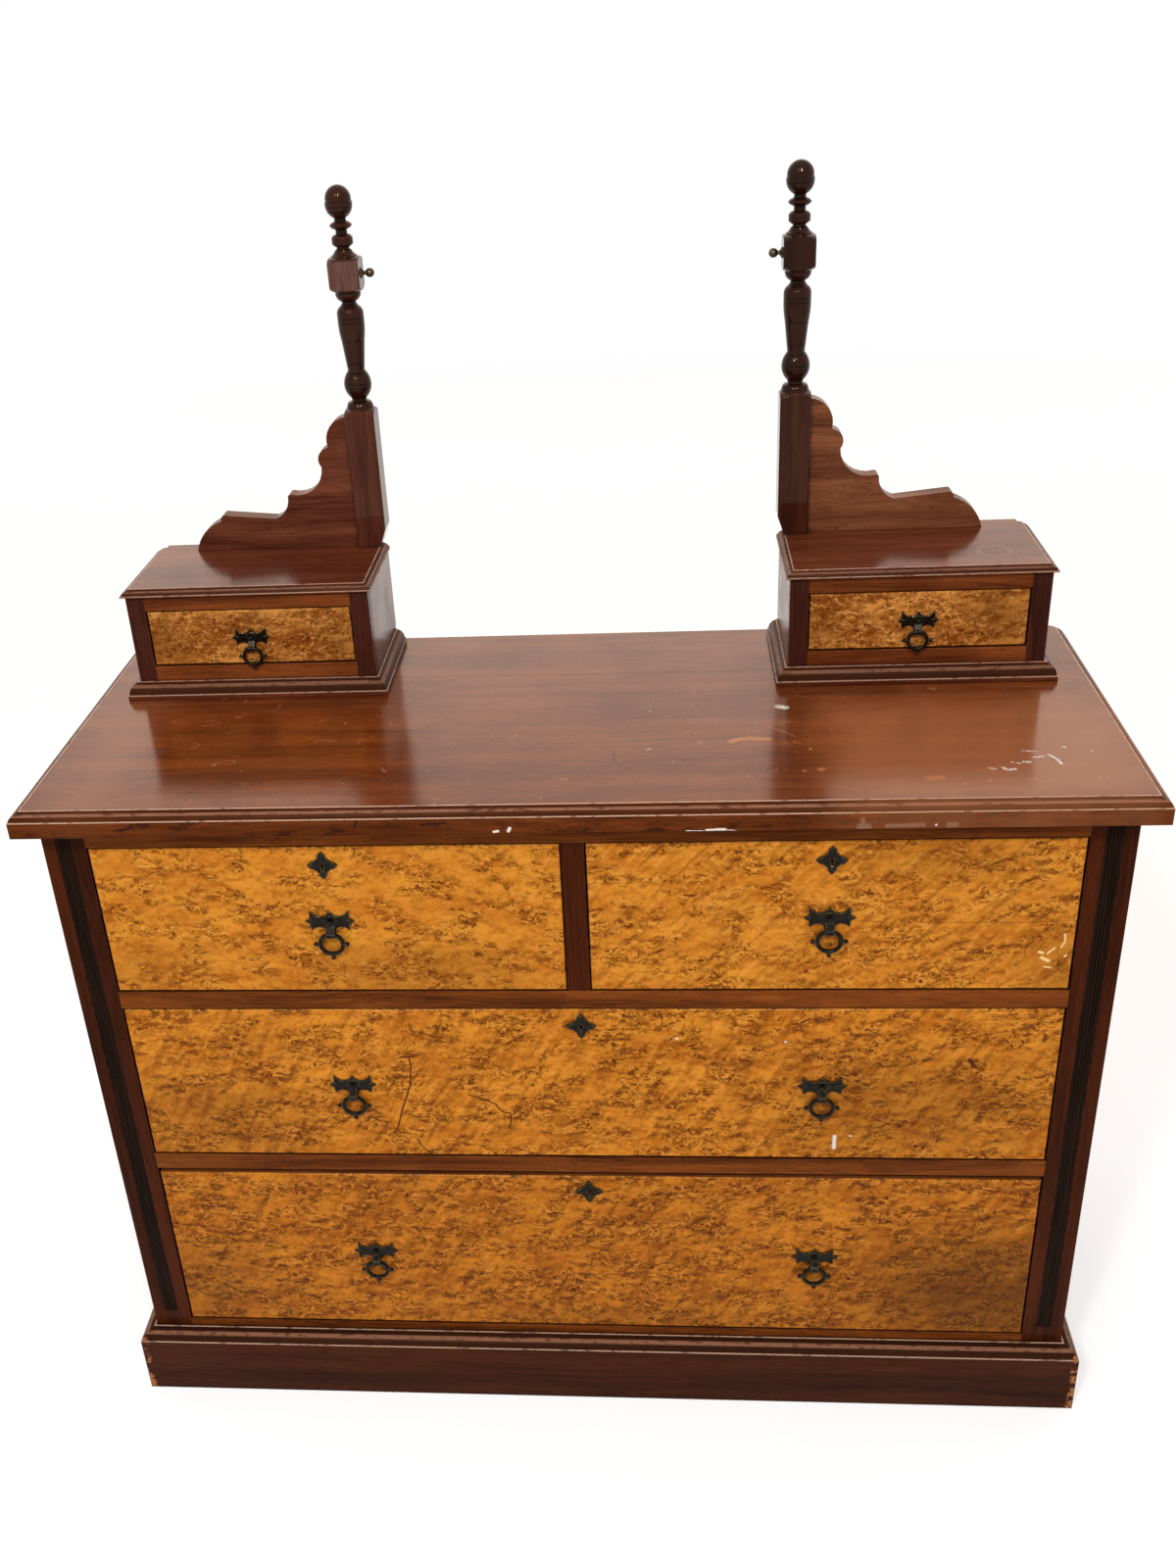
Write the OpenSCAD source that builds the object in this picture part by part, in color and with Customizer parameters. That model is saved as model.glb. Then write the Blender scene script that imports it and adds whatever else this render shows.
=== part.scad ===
// Dressing chest in polished mahogany with burr veneered drawer fronts. Two small drawer boxes stand
// at the back of the top. A turned standard with a scroll bracket rises from each box and ends in
// a ball ended pivot for a swinging mirror. Millimetres, front towards -Y, standing on Z = 0.

/* [Chest] */
// Width over the moulded edges of the top
chest_w = 1067; // [900:1:1300]
// Depth from the front edge of the top to the back
chest_d = 410; // [360:1:520]
// Thickness of the top
top_t = 25; // [18:0.5:35]
// How far the top stands out past each side of the carcass
side_overhang = 18; // [17.5:0.5:40]
// How far the top stands out past the drawer fronts
front_overhang = 25; // [20:0.5:50]
// Width of the narrow board glued on along the back of the top
rear_board_w = 113; // [60:1:180]
// Radius of the two rear corners of the top
top_corner_r = 18; // [12:1:30]
// Width of the moulding on the edge of the top
top_mould_w = 9.5; // [6:0.5:11]
// Height of the moulding on the edge of the top
top_mould_h = 8; // [5:0.5:12]
// Height of the small step that starts every moulding
mould_step = 1.4; // [0.8:0.1:2.5]
// Width of the small ledge at the foot of every moulding
mould_ledge = 1.2; // [0.6:0.1:2]

/* [Carcass] */
// Thickness of the carcass sides
side_t = 18; // [12:0.5:24]
// Width of the front stiles
stile_w = 43; // [30:0.5:60]
// Thickness of the front stiles and of the upright between the short drawers
stile_t = 22; // [16:0.5:30]
// Width of the upright between the short drawers
upright_w = 22; // [16:0.5:40]
// Height of the rails between the drawers
rail_h = 21; // [16:0.5:30]
// Depth of the rails from front to back
rail_d = 60; // [45:1:90]
// Height of the rail under the top
top_rail_h = 25.5; // [18:0.5:40]
// Height of the bottom rail that shows above the plinth
sill_h = 10.5; // [8:0.5:20]
// Height of the bottom rail that the plinth hides
sill_hidden_h = 40; // [20:1:60]
// Thickness of the bottom board
bottom_t = 12; // [8:0.5:18]
// Thickness of the dustboards
dust_t = 6; // [4:0.5:9]
// Depth of the grooves that hold the dustboards
dust_groove = 8; // [4:0.5:12]
// Width of each side runner under a drawer, measured inwards from the stile's edge
runner_in = 30; // [20:1:60]
// How far the centre runner reaches past each side of the upright
centre_runner_in = 18; // [12:1:40]
// Height of the guides that keep the drawers straight
guide_h = 12; // [8:1:20]
// Depth of the hidden rail at the back under the top
rear_rail_d = 40; // [20:1:60]
// Thickness of the back boards
back_t = 9; // [6:0.5:12]
// How far the back boards sit inside the back edges of the sides
back_inset = 3; // [1:0.5:8]
// Number of back boards
back_count = 5; // [3:1:7]
// Thickness of the glue line left between boards that are joined
glue = 0.05; // [0.02:0.01:0.1]

/* [Reeded bands] */
// Width of the dark band let into each stile
band_w = 16; // [10:0.5:24]
// Distance of the band from the outer edge of the stile
band_in = 13; // [6:0.5:16]
// Depth of the groove that holds the band
band_t = 3; // [2:0.25:6]
// Number of reeds across the band
reed_count = 5; // [3:1:8]
// Plain length of stile under and over the band
band_margin = 12; // [4:1:40]

/* [Plinth] */
// Height of the plinth
plinth_h = 87; // [60:1:140]
// Thickness of the plinth boards
plinth_t = 17; // [10:0.5:17]
// Height of the moulding along the top of the plinth
plinth_mould_h = 11; // [6:0.5:20]
// Flat left between the plinth moulding and the carcass
plinth_land = 3; // [1:0.5:6]
// Size of the triangular glue blocks under the bottom board
block_s = 22; // [12:1:30]
// Length of a glue block
block_len = 60; // [30:1:80]

/* [Chest drawers] */
// Height of the opening of the two short drawers
short_open_h = 171.5; // [130:0.5:220]
// Height of the opening of the middle drawer
middle_open_h = 195.5; // [130:0.5:260]
// Height of the opening of the bottom drawer
bottom_open_h = 231; // [130:0.5:300]
// Gap around each drawer front
drawer_gap = 1.5; // [1:0.1:3]
// Extra gap over the worn bottom drawer
worn_gap = 5; // [0:0.5:8]
// Clearance between a drawer and what it runs on
run_gap = 0.3; // [0.1:0.05:1]
// How far a drawer's sides stay below the top of its front
side_drop = 4; // [2:0.5:12]
// How far a drawer's back stays below its sides
back_drop = 4; // [2:0.5:12]
// Thickness of the drawer fronts
front_t = 20; // [17:0.5:26]
// Thickness of the drawer sides
drawer_side_t = 10; // [7:0.5:14]
// Thickness of the drawer backs
drawer_back_t = 9; // [6:0.5:14]
// Thickness of the drawer bottoms
drawer_bottom_t = 6; // [4:0.5:9]
// Height of a drawer bottom over the drawer's lower edge
bottom_lift = 8; // [6:0.5:14]
// Depth of the grooves that hold a drawer bottom
bottom_groove = 5; // [3:0.5:6]
// Wood left in front of the dovetails of a drawer front
lap = 6; // [4:0.5:8]
// Free space behind a drawer
drawer_rear_gap = 8; // [4:1:30]
// Size of the eased edge round a drawer front's face
ease = 1.2; // [0.4:0.1:2]
// Length of a drawer stop from front to back
stop_len = 28; // [16:1:36]
// Width of a drawer stop
stop_w = 50; // [30:1:80]
// Clearance between a drawer stop and the drawer bottom over it
stop_gap = 2; // [1:0.25:3]

/* [Fittings] */
// Half the width of a handle's backplate, out to its pointed tips
plate_half_w = 24.8; // [20:0.1:30]
// Half the height of a backplate, up to its horns
plate_half_h = 11.3; // [9:0.1:14]
// Thickness of the backplates and escutcheons
plate_t = 1.8; // [1.2:0.1:3]
// Radius of the round boss at the middle of a backplate
boss_r = 6.3; // [5:0.1:8]
// Radius of a ring handle, to the middle of its wire
ring_r = 11.3; // [9:0.1:14]
// Radius of the ring handle's wire
ring_wire_r = 2.1; // [1.5:0.1:2.4]
// Distance of the ring's centre under the backplate's centre
ring_drop = 24.2; // [22:0.1:30]
// How far each ball of a ring handle reaches past the middle of the wire
ring_ball_out = 6.8; // [6:0.1:8]
// Radius of the straight bar that the ring swings on
bar_r = 1.5; // [1:0.1:1.8]
// Clearance round that bar
bar_gap = 0.3; // [0.1:0.05:0.5]
// Radius of the knuckle that holds the bar
knuckle_r = 3.4; // [2.8:0.1:4]
// Width of the knuckle
knuckle_w = 8; // [5:0.5:10]
// Radius of the bolt that holds a backplate
bolt_r = 2; // [1.5:0.1:3]
// Size of the box drawers' handles next to those of the chest
small_handle = 0.85; // [0.75:0.01:1]
// Half the width of a keyhole escutcheon
escutcheon_half_w = 14.9; // [11:0.1:17]
// Half the height of a keyhole escutcheon
escutcheon_half_h = 15.5; // [12:0.1:17]
// Distance of a keyhole's centre under the top of its drawer front
keyhole_down = 20; // [18:0.5:24]
// Radius of the keyhole's round part
keyhole_r = 2; // [1.5:0.1:2.6]
// Width of a lock
lock_w = 48; // [36:1:60]
// Height of a lock
lock_h = 34; // [30:1:45]
// Depth of a lock
lock_d = 10; // [7:0.5:11]

/* [Drawer boxes] */
// Distance from each end of the chest's top to the base of the box
box_side_in = 41.5; // [25:0.5:70]
// Width of a box's base, over its moulding
box_base_w = 286; // [260:1:300]
// Depth of a box's base
box_base_d = 154; // [120:1:200]
// Thickness of a box's base
box_base_t = 18; // [13.5:0.5:25]
// Space between a box's base and the back of the chest
box_rear = 3; // [0:0.5:10]
// How far a box's body is set back from its base
box_inset = 12.5; // [10.5:0.5:16]
// Height of a box's body
box_body_h = 97.5; // [82:0.5:120]
// Thickness of a box's top
box_top_t = 7.5; // [7:0.5:12]
// How far a box's top stands out past its body
box_top_out = 4.5; // [2:0.5:8]
// Radius of the rear corners of a box's base and top
box_corner_r = 13; // [11:0.5:18]
// Width of the moulding on a box's base
base_mould_w = 9.5; // [5:0.5:10.5]
// Height of the moulding on a box's base
base_mould_h = 12.5; // [6:0.5:17]
// Width of the moulding on a box's top
lid_mould_w = 7.5; // [5:0.5:9]
// Height of the moulding on a box's top
lid_mould_h = 6; // [4:0.5:6.5]
// Width of a box's front stiles
box_stile_w = 19.5; // [14:0.5:26]
// Height of a box's bottom rail
box_bottom_rail_h = 16.5; // [10:0.5:22]
// Height of a box's top rail
box_top_rail_h = 17; // [12:0.5:24]
// Thickness of a box's front frame
box_frame_t = 15; // [10:0.5:20]
// Thickness of a box's sides
box_side_t = 10; // [7:0.5:12]
// Thickness of a box's back and floor
box_back_t = 7; // [5:0.5:10]
// Thickness of a box drawer's front
box_front_t = 15; // [12:0.5:18]
// Thickness of a box drawer's sides and back
box_drawer_side_t = 7; // [5:0.5:9]
// Thickness of a box drawer's bottom
box_drawer_bottom_t = 4; // [3:0.5:6]
// Free space behind a box drawer
box_drawer_rear_gap = 4; // [1:0.5:10]

/* [Mirror standards] */
// Width of the square parts of a standard
post_w = 32; // [26:0.5:38]
// Height of the plain square part of a standard
shank_h = 152; // [147:1:220]
// Height of the turned part over the shank, with its square block
turned_h = 225; // [190:1:250]
// Chamfer along the corners of the square part
post_chamfer = 1.5; // [0.5:0.25:3]
// Height of the wedge cut off the inner edge of a standard's foot
foot_cut_h = 20; // [10:1:40]
// Width of that wedge
foot_cut_w = 7; // [3:0.5:7]
// Radius of the round tenon under a standard
tenon_r = 5.5; // [4:0.5:6]
// Distance of the tenon's centre inwards from the centre of the rounded corner of the box's top
tenon_in = 3; // [3:0.5:6]
// Length of a scroll bracket along the top of its box
bracket_len = 184.8; // [150:0.1:200]
// Height of a scroll bracket
bracket_h = 145; // [120:1:147]
// Thickness of a scroll bracket
bracket_t = 18; // [12:0.5:26]
// Radius of a mirror pivot's neck
pivot_neck_r = 2; // [1.5:0.1:3]
// Radius of a mirror pivot's ball
pivot_ball_r = 4.75; // [3:0.05:5.5]
// Distance of the ball's centre from the face of the standard
pivot_out = 9; // [8:0.5:14]
// Radius of the round plate behind a mirror pivot
pivot_rose_r = 5.5; // [4:0.1:7]
// Thickness of that plate, which thins towards its edge
pivot_rose_t = 3.2; // [2:0.1:3.4]
// Radius of the pivot's shank inside the standard
pivot_shank_r = 3; // [2:0.1:4]
// Length of the pivot's shank
pivot_shank_len = 20; // [12:0.5:24]
// Clearance round tenons and shanks
peg_gap = 0.1; // [0.05:0.01:0.3]

/* [Hidden] */
$fn = 48;
eps = 0.01;
mahogany = [0.36, 0.15, 0.08];
burr = [0.74, 0.45, 0.17];
ebony = [0.10, 0.07, 0.06];
bronze = [0.13, 0.14, 0.12];
pine = [0.72, 0.57, 0.38];

// Levels of the chest, counted up from the floor
bottom_z = plinth_h + sill_h;
lower_rail_z = bottom_z + bottom_open_h;
middle_z = lower_rail_z + rail_h;
upper_rail_z = middle_z + middle_open_h;
short_z = upper_rail_z + rail_h;
top_rail_z = short_z + short_open_h;
top_z = top_rail_z + top_rail_h;
chest_h = top_z + top_t;

// Widths and depths of the carcass
carcass_w = chest_w - 2 * side_overhang;
inside_w = carcass_w - 2 * side_t;
open_w = carcass_w - 2 * stile_w;
short_w = (open_w - upright_w) / 2;
short_x = (short_w + upright_w) / 2;
front_y = front_overhang - chest_d / 2;
rear_y = chest_d / 2;
back_y = rear_y - back_inset - back_t;
rail_rear_y = front_y + rail_d;
centre_runner_w = upright_w + 2 * centre_runner_in;
rebate = side_t / 2;
drawer_len = back_y - drawer_rear_gap - front_y;

// Places and levels of the boxes
box_x = chest_w / 2 - box_side_in - box_base_w / 2;
base_y = rear_y - box_rear - box_base_d;
body_y = base_y + box_inset;
body_d = box_base_d - box_inset;
body_w = box_base_w - 2 * box_inset;
body_z = chest_h + box_base_t;
lid_z = body_z + box_body_h;
post_z = lid_z + box_top_t;
box_open_w = body_w - 2 * box_stile_w;
box_open_h = box_body_h - box_bottom_rail_h - box_top_rail_h;
box_open_z = body_z + box_bottom_rail_h;
box_inside_w = body_w - 2 * box_side_t;
box_drawer_len = body_d - box_back_t - box_drawer_rear_gap;

// Places of the standards, whose inner faces are flush with the ends of the boxes' tops
post_in = box_x - body_w / 2 - box_top_out;
post_x = post_in + post_w / 2;
post_y = rear_y - post_w / 2;
// Place of the tenon, clear of the moulding round the corner of the box's top
tenon_x = post_in + box_corner_r + tenon_in;
tenon_y = rear_y - box_rear - box_corner_r - tenon_in;
// The turning is drawn 225 high for a standard 32 wide and follows the real sizes
turn_w = post_w / 32;
turn_h = turned_h / 225;
// Heights over the shank of the square block that carries the mirror pivot
block_low = 121 * turn_h;
block_high = 156 * turn_h;
pivot_z = post_z + shank_h + (block_low + block_high) / 2;

// Handles
bar_up = sqrt(ring_r * ring_r - pow(knuckle_w / 2 + bar_gap, 2));
bar_down = ring_drop - bar_up;
bar_out = plate_t + knuckle_r + 0.3;
ring_collar_r = 1.9;
ring_collar_out = 2.5;
nut_w = 9;
nut_t = 3;
bolt_past = 1.5;
pin_r = 1.5;

// Inside of a lock: its walls, and the width and depth of the bolt
lock_wall = 2;
lock_bolt_w = 16;
lock_bolt_deep = 4;
lock_bolt_gap = 0.5;
// Pin in the keyhole that a hollow key turns on
key_pin_r = 0.8;
key_pin_len = 5;

// Drawer kinds: opening width, opening height, gap over the front, front thickness, side thickness,
// back thickness, bottom thickness, length, number of dovetails, places of the handles, lock
short_kind = [short_w, short_open_h, drawer_gap + 0.3, front_t, drawer_side_t, drawer_back_t,
    drawer_bottom_t, drawer_len, 4, [0], true];
middle_kind = [open_w, middle_open_h, drawer_gap + 0.3, front_t, drawer_side_t, drawer_back_t,
    drawer_bottom_t, drawer_len, 4, [-short_x, short_x], true];
bottom_kind = [open_w, bottom_open_h, drawer_gap + worn_gap, front_t, drawer_side_t, drawer_back_t,
    drawer_bottom_t, drawer_len, 5, [-short_x, short_x], true];
box_kind = [box_open_w, box_open_h, drawer_gap, box_front_t, box_drawer_side_t, box_drawer_side_t,
    box_drawer_bottom_t, box_drawer_len, 2, [0], false];

function kind_w(k) = k[0];
function kind_h(k) = k[1];
function kind_top_gap(k) = k[2];
function kind_front_t(k) = k[3];
function kind_side_t(k) = k[4];
function kind_back_t(k) = k[5];
function kind_bottom_t(k) = k[6];
function kind_len(k) = k[7];
function kind_tails(k) = k[8];
function kind_handles(k) = k[9];
function kind_lock(k) = k[10];
function front_high(k) = kind_h(k) - kind_top_gap(k);
function side_out(k) = kind_w(k) / 2 - drawer_gap;
function side_high(k) = front_high(k) - side_drop;
function panel_z(k) = run_gap + bottom_lift;
function handle_z(k) = (drawer_gap + front_high(k)) / 2;

// Points of an arc from p to q. A positive bulge turns outwards on an outline drawn anticlockwise
// and is the tangent of a quarter of the arc's angle.
function arc_points(p, q, bulge, n) =
    let (
        half = norm(q - p) / 2,
        left = [p[1] - q[1], q[0] - p[0]] / (2 * half),
        c = (p + q) / 2 + left * half * (1 - bulge * bulge) / (2 * bulge),
        turn = 4 * atan(bulge)
    )
    [for (i = [0:n - 1])
        let (a = turn * i / n)
        c + [[cos(a), -sin(a)], [sin(a), cos(a)]] * (p - c)];

// Outline through a list of [x, y, bulge of the edge that follows]
function outline(path, n = 8) =
    [for (i = [0:len(path) - 1])
        let (
            p = [path[i][0], path[i][1]],
            next = path[(i + 1) % len(path)],
            q = [next[0], next[1]]
        )
        each (path[i][2] == 0 ? [p] : arc_points(p, q, path[i][2], n))];

// Ovolo edge from its outer arris up to the step, w wide and h high, measured from the corner
function ovolo(w, h, n = 8) =
    concat([[0, -h]],
        [for (i = [0:n])
            [-w + (w - mould_ledge) * cos(90 * i / n), -h + (h - mould_step) * sin(90 * i / n)]]);

module cuboid(x0, x1, y0, y1, z0, z1) {
    translate([x0, y0, z0])
        cube([x1 - x0, y1 - y0, z1 - z0]);
}

// Extrudes an outline drawn in X and Z along Y
module along_y(y0, y1) {
    translate([0, y1, 0])
        rotate([90, 0, 0])
            linear_extrude(y1 - y0)
                children();
}

// Extrudes an outline drawn in Y and Z along X
module along_x(x0, x1) {
    translate([x0, 0, 0])
        rotate([90, 0, 90])
            linear_extrude(x1 - x0)
                children();
}

module pair() {
    for (side = [0, 1])
        mirror([side, 0, 0])
            children();
}

module at_side(right) {
    mirror([right ? 0 : 1, 0, 0])
        children();
}

// Slab with an ovolo edge along its front and sides that runs round its two rear corners.
// Centred on X, front edge on Y = 0, underside on Z = 0.
module moulded_slab(w, d, t, mw, mh, r) {
    edge = ovolo(mw, mh);
    side_section = concat([[-w / 2, 0], [w / 2, 0]],
        [for (p = edge) [w / 2 + p[0], t + p[1]]], [[w / 2 - mw, t], [mw - w / 2, t]],
        [for (i = [len(edge) - 1:-1:0]) [-w / 2 - edge[i][0], t + edge[i][1]]]);
    front_section = concat([[0, 0], [d, 0], [d, t], [mw, t]],
        [for (i = [len(edge) - 1:-1:0]) [-edge[i][0], t + edge[i][1]]]);
    corner_section = concat([[0, 0], [r, 0]],
        [for (p = edge) [r + p[0], t + p[1]]], [[r - mw, t], [0, t]]);
    difference() {
        intersection() {
            along_y(0, d)
                polygon(side_section);
            along_x(-w / 2, w / 2)
                polygon(front_section);
        }
        pair()
            cuboid(w / 2 - r, w / 2 + 1, d - r, d + 1, -1, t + 1);
    }
    pair()
        translate([w / 2 - r, d - r, 0])
            intersection() {
                rotate_extrude()
                    polygon(corner_section);
                cube([r + 1, r + 1, t]);
            }
}

module chest_top() {
    translate([0, -chest_d / 2, top_z])
        moulded_slab(chest_w, chest_d, top_t, top_mould_w, top_mould_h, top_corner_r);
}

module top_front_board() {
    color(mahogany)
        intersection() {
            chest_top();
            cuboid(-chest_w, chest_w, -chest_d, rear_y - rear_board_w, 0, chest_h + 1);
        }
}

module top_rear_board() {
    color(mahogany)
        intersection() {
            chest_top();
            cuboid(-chest_w, chest_w, rear_y - rear_board_w, chest_d, 0, chest_h + 1);
        }
}

module carcass_side() {
    color(mahogany)
        difference() {
            cuboid(inside_w / 2, carcass_w / 2, front_y + stile_t, rear_y, 0, top_z);
            cuboid(inside_w / 2 - 1, inside_w / 2 + rebate, back_y, rear_y + 1,
                bottom_z - bottom_t, top_z + 1);
        }
}

// Two stiles and the short upright between the upper drawers
module stiles() {
    color(mahogany)
        pair()
            difference() {
                cuboid(open_w / 2, carcass_w / 2, front_y, front_y + stile_t, 0, top_z);
                band_space();
            }
    color(mahogany)
        cuboid(-upright_w / 2, upright_w / 2, front_y, front_y + stile_t, short_z, top_rail_z);
}

// Groove of a reeded band in the right stile
module band_space() {
    cuboid(carcass_w / 2 - band_in - band_w, carcass_w / 2 - band_in,
        front_y - 1, front_y + band_t, bottom_z + band_margin, top_z - band_margin);
}

module reeded_bands() {
    reed_r = band_w / reed_count / 2;
    x1 = carcass_w / 2 - band_in;
    color(ebony)
        pair()
            translate([0, 0, bottom_z + band_margin])
                linear_extrude(top_z - bottom_z - 2 * band_margin)
                    intersection() {
                        union() {
                            translate([x1 - band_w, front_y + reed_r])
                                square([band_w, band_t - reed_r]);
                            for (i = [0:reed_count - 1])
                                translate([x1 - (2 * i + 1) * reed_r, front_y + reed_r])
                                    circle(reed_r, $fn = 24);
                        }
                        translate([x1 - band_w, front_y])
                            square([band_w, band_t]);
                    }
}

// Rail whose front fits between the stiles and whose rear reaches the sides
module rail(z, h, depth = rail_d) {
    cuboid(-open_w / 2, open_w / 2, front_y, front_y + stile_t, z, z + h);
    cuboid(-inside_w / 2, inside_w / 2, front_y + stile_t, front_y + depth, z, z + h);
}

module top_rails() {
    color(mahogany)
        rail(top_rail_z, top_rail_h);
    color(pine)
        cuboid(-inside_w / 2, inside_w / 2, back_y - rear_rail_d, back_y, top_rail_z, top_z);
}

// Groove for a dustboard along the rear edge of a rail
module dust_slot(z) {
    cuboid(-inside_w / 2 - 1, inside_w / 2 + 1, rail_rear_y - dust_groove, rail_rear_y + 1,
        z + (rail_h - dust_t) / 2, z + (rail_h + dust_t) / 2);
}

module upper_rail() {
    color(mahogany)
        difference() {
            rail(upper_rail_z, rail_h);
            dust_slot(upper_rail_z);
        }
}

module lower_rail() {
    color(mahogany)
        difference() {
            rail(lower_rail_z, rail_h);
            dust_slot(lower_rail_z);
        }
}

module bottom_rail() {
    color(mahogany)
        rail(bottom_z - sill_h - sill_hidden_h, sill_h + sill_hidden_h);
}

// Dustboard between x0 and x1 in the grooves of a rail at height z
module dustboard(x0, x1, z) {
    cuboid(x0, x1, rail_rear_y - dust_groove, back_y,
        z + (rail_h - dust_t) / 2, z + (rail_h + dust_t) / 2);
}

module dustboards() {
    outer = open_w / 2 - runner_in + dust_groove;
    color(pine) {
        dustboard(-outer, outer, lower_rail_z);
        pair()
            dustboard(centre_runner_w / 2 - dust_groove, outer, upper_rail_z);
    }
}

// Side runner with its guide, on the right, under a drawer whose opening starts at z
module side_runner(z) {
    difference() {
        cuboid(open_w / 2 - runner_in, inside_w / 2, rail_rear_y, back_y, z - rail_h, z);
        cuboid(open_w / 2 - runner_in - 1, open_w / 2 - runner_in + dust_groove,
            rail_rear_y - 1, back_y + 1, z - (rail_h + dust_t) / 2, z - (rail_h - dust_t) / 2);
    }
    side_guide(z);
}

module side_guide(z) {
    cuboid(open_w / 2, inside_w / 2, front_y + stile_t, back_y, z + glue, z + guide_h);
}

module drawer_runners() {
    color(pine) {
        pair() {
            side_runner(short_z);
            side_runner(middle_z);
            side_guide(bottom_z);
            cuboid(open_w / 2 - runner_in, inside_w / 2, rail_rear_y, back_y - rear_rail_d,
                top_rail_z, top_z);
        }
        difference() {
            cuboid(-centre_runner_w / 2, centre_runner_w / 2, rail_rear_y, back_y,
                short_z - rail_h, short_z);
            pair()
                cuboid(centre_runner_w / 2 - dust_groove, centre_runner_w / 2 + 1,
                    rail_rear_y - 1, back_y + 1,
                    short_z - (rail_h + dust_t) / 2, short_z - (rail_h - dust_t) / 2);
        }
        cuboid(-upright_w / 2, upright_w / 2, front_y + stile_t, back_y,
            short_z + glue, short_z + guide_h);
        cuboid(-centre_runner_w / 2, centre_runner_w / 2, rail_rear_y, back_y - rear_rail_d,
            top_rail_z, top_z);
        stops(-short_x, short_z, short_w);
        stops(short_x, short_z, short_w);
        stops(0, middle_z, open_w);
        stops(0, bottom_z, open_w);
    }
}

// Two thin blocks that a drawer front meets when it is shut
module stops(x, z, w) {
    for (side = [-1, 1])
        translate([x + side * w / 4 - stop_w / 2, front_y + front_t + run_gap, z])
            cube([stop_w, stop_len, bottom_lift - stop_gap]);
}

module bottom_board() {
    color(pine)
        cuboid(-inside_w / 2, inside_w / 2, rail_rear_y, back_y, bottom_z - bottom_t, bottom_z);
}

// Upright boards with tongues and grooves
module back_boards() {
    total = inside_w + 2 * rebate;
    w = total / back_count;
    tongue = 5;
    third = back_t / 3;
    color(pine)
        for (i = [0:back_count - 1])
            translate([i * w - total / 2, back_y, bottom_z - bottom_t])
                linear_extrude(top_z - bottom_z + bottom_t)
                    difference() {
                        union() {
                            square([w - (i < back_count - 1 ? glue : 0), back_t]);
                            if (i < back_count - 1)
                                translate([w - 1, third])
                                    square([tongue + 1, third]);
                        }
                        if (i > 0)
                            translate([-1, third - glue])
                                square([tongue + 1 + glue, third + 2 * glue]);
                    }
}

// Section of the plinth, X away from the carcass
module plinth_section() {
    edge = ovolo(plinth_t - plinth_land, plinth_mould_h);
    polygon(concat([[0, 0], [plinth_t, 0]],
        [for (p = edge) [plinth_t + p[0], plinth_h + p[1]]],
        [[plinth_land, plinth_h], [0, plinth_h]]));
}

// Everything in front of the mitres of the plinth
module mitre_zone() {
    c = carcass_w / 2;
    reach = plinth_t + 1;
    translate([0, 0, -1])
        linear_extrude(plinth_h + 2)
            polygon([[-c, front_y], [-c - reach, front_y - reach],
                [c + reach, front_y - reach], [c, front_y]]);
}

module plinth_front() {
    color(mahogany)
        intersection() {
            translate([-carcass_w, front_y, 0])
                rotate([90, 0, 90])
                    linear_extrude(2 * carcass_w)
                        mirror([1, 0])
                            plinth_section();
            mitre_zone();
        }
}

module plinth_returns() {
    color(mahogany)
        pair()
            difference() {
                along_y(front_y - plinth_t, rear_y)
                    translate([carcass_w / 2, 0])
                        plinth_section();
                mitre_zone();
            }
}

module glue_block() {
    linear_extrude(block_len)
        polygon([[0, 0], [-block_s, 0], [0, -block_s]]);
}

module glue_blocks() {
    under = bottom_z - bottom_t;
    room = back_y - rail_rear_y;
    color(pine) {
        pair()
            for (share = [0.25, 0.75])
                translate([inside_w / 2, rail_rear_y + share * room + block_len / 2, under])
                    rotate([90, 0, 0])
                        glue_block();
        for (side = [-1, 0, 1])
            translate([side * inside_w / 3 - block_len / 2, rail_rear_y, under])
                rotate([90, 0, 90])
                    mirror([1, 0, 0])
                        glue_block();
    }
}

// Dovetails of a drawer side in Y and Z. Their wide ends lie at y0, their roots at y1. A fit
// widens each one by the glue line.
module tails(y0, y1, z0, z1, n, fit) {
    pitch = (z1 - z0) / n;
    wide = 0.37 * pitch + fit;
    root = 0.28 * pitch + fit;
    for (i = [0:n - 1])
        translate([0, z0 + (i + 0.5) * pitch])
            polygon([[y0, -wide], [y1, -root], [y1, root], [y0, wide]]);
}

module front_tails(k, past) {
    tails(lap, kind_front_t(k) + past, drawer_gap, side_high(k), kind_tails(k), 0);
}

module rear_tails(k, fit) {
    n = kind_len(k);
    tails(n + fit, n - kind_back_t(k) - 2 * glue, panel_z(k) + kind_bottom_t(k),
        side_high(k) - back_drop, kind_tails(k), fit);
}

// Bottom panel of a drawer, also cut from its front and sides as their grooves
module drawer_panel(k, fit, past) {
    half = side_out(k) - kind_side_t(k) + bottom_groove + fit;
    cuboid(-half, half, kind_front_t(k) - bottom_groove - fit, kind_len(k) + past,
        panel_z(k) - fit, panel_z(k) + kind_bottom_t(k) + fit);
}

// Side of a drawer on the right, with lapped dovetails in front and through dovetails behind
module drawer_side(k) {
    n = kind_len(k);
    rear_z = panel_z(k) + kind_bottom_t(k);
    shoulder = n - kind_back_t(k) - glue;
    difference() {
        along_x(side_out(k) - kind_side_t(k), side_out(k))
            union() {
                polygon([[kind_front_t(k), run_gap], [n, run_gap], [n, rear_z],
                    [shoulder, rear_z], [shoulder, side_high(k)],
                    [kind_front_t(k), side_high(k)]]);
                front_tails(k, eps);
                rear_tails(k, 0);
            }
        drawer_panel(k, glue, 1);
    }
}

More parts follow.
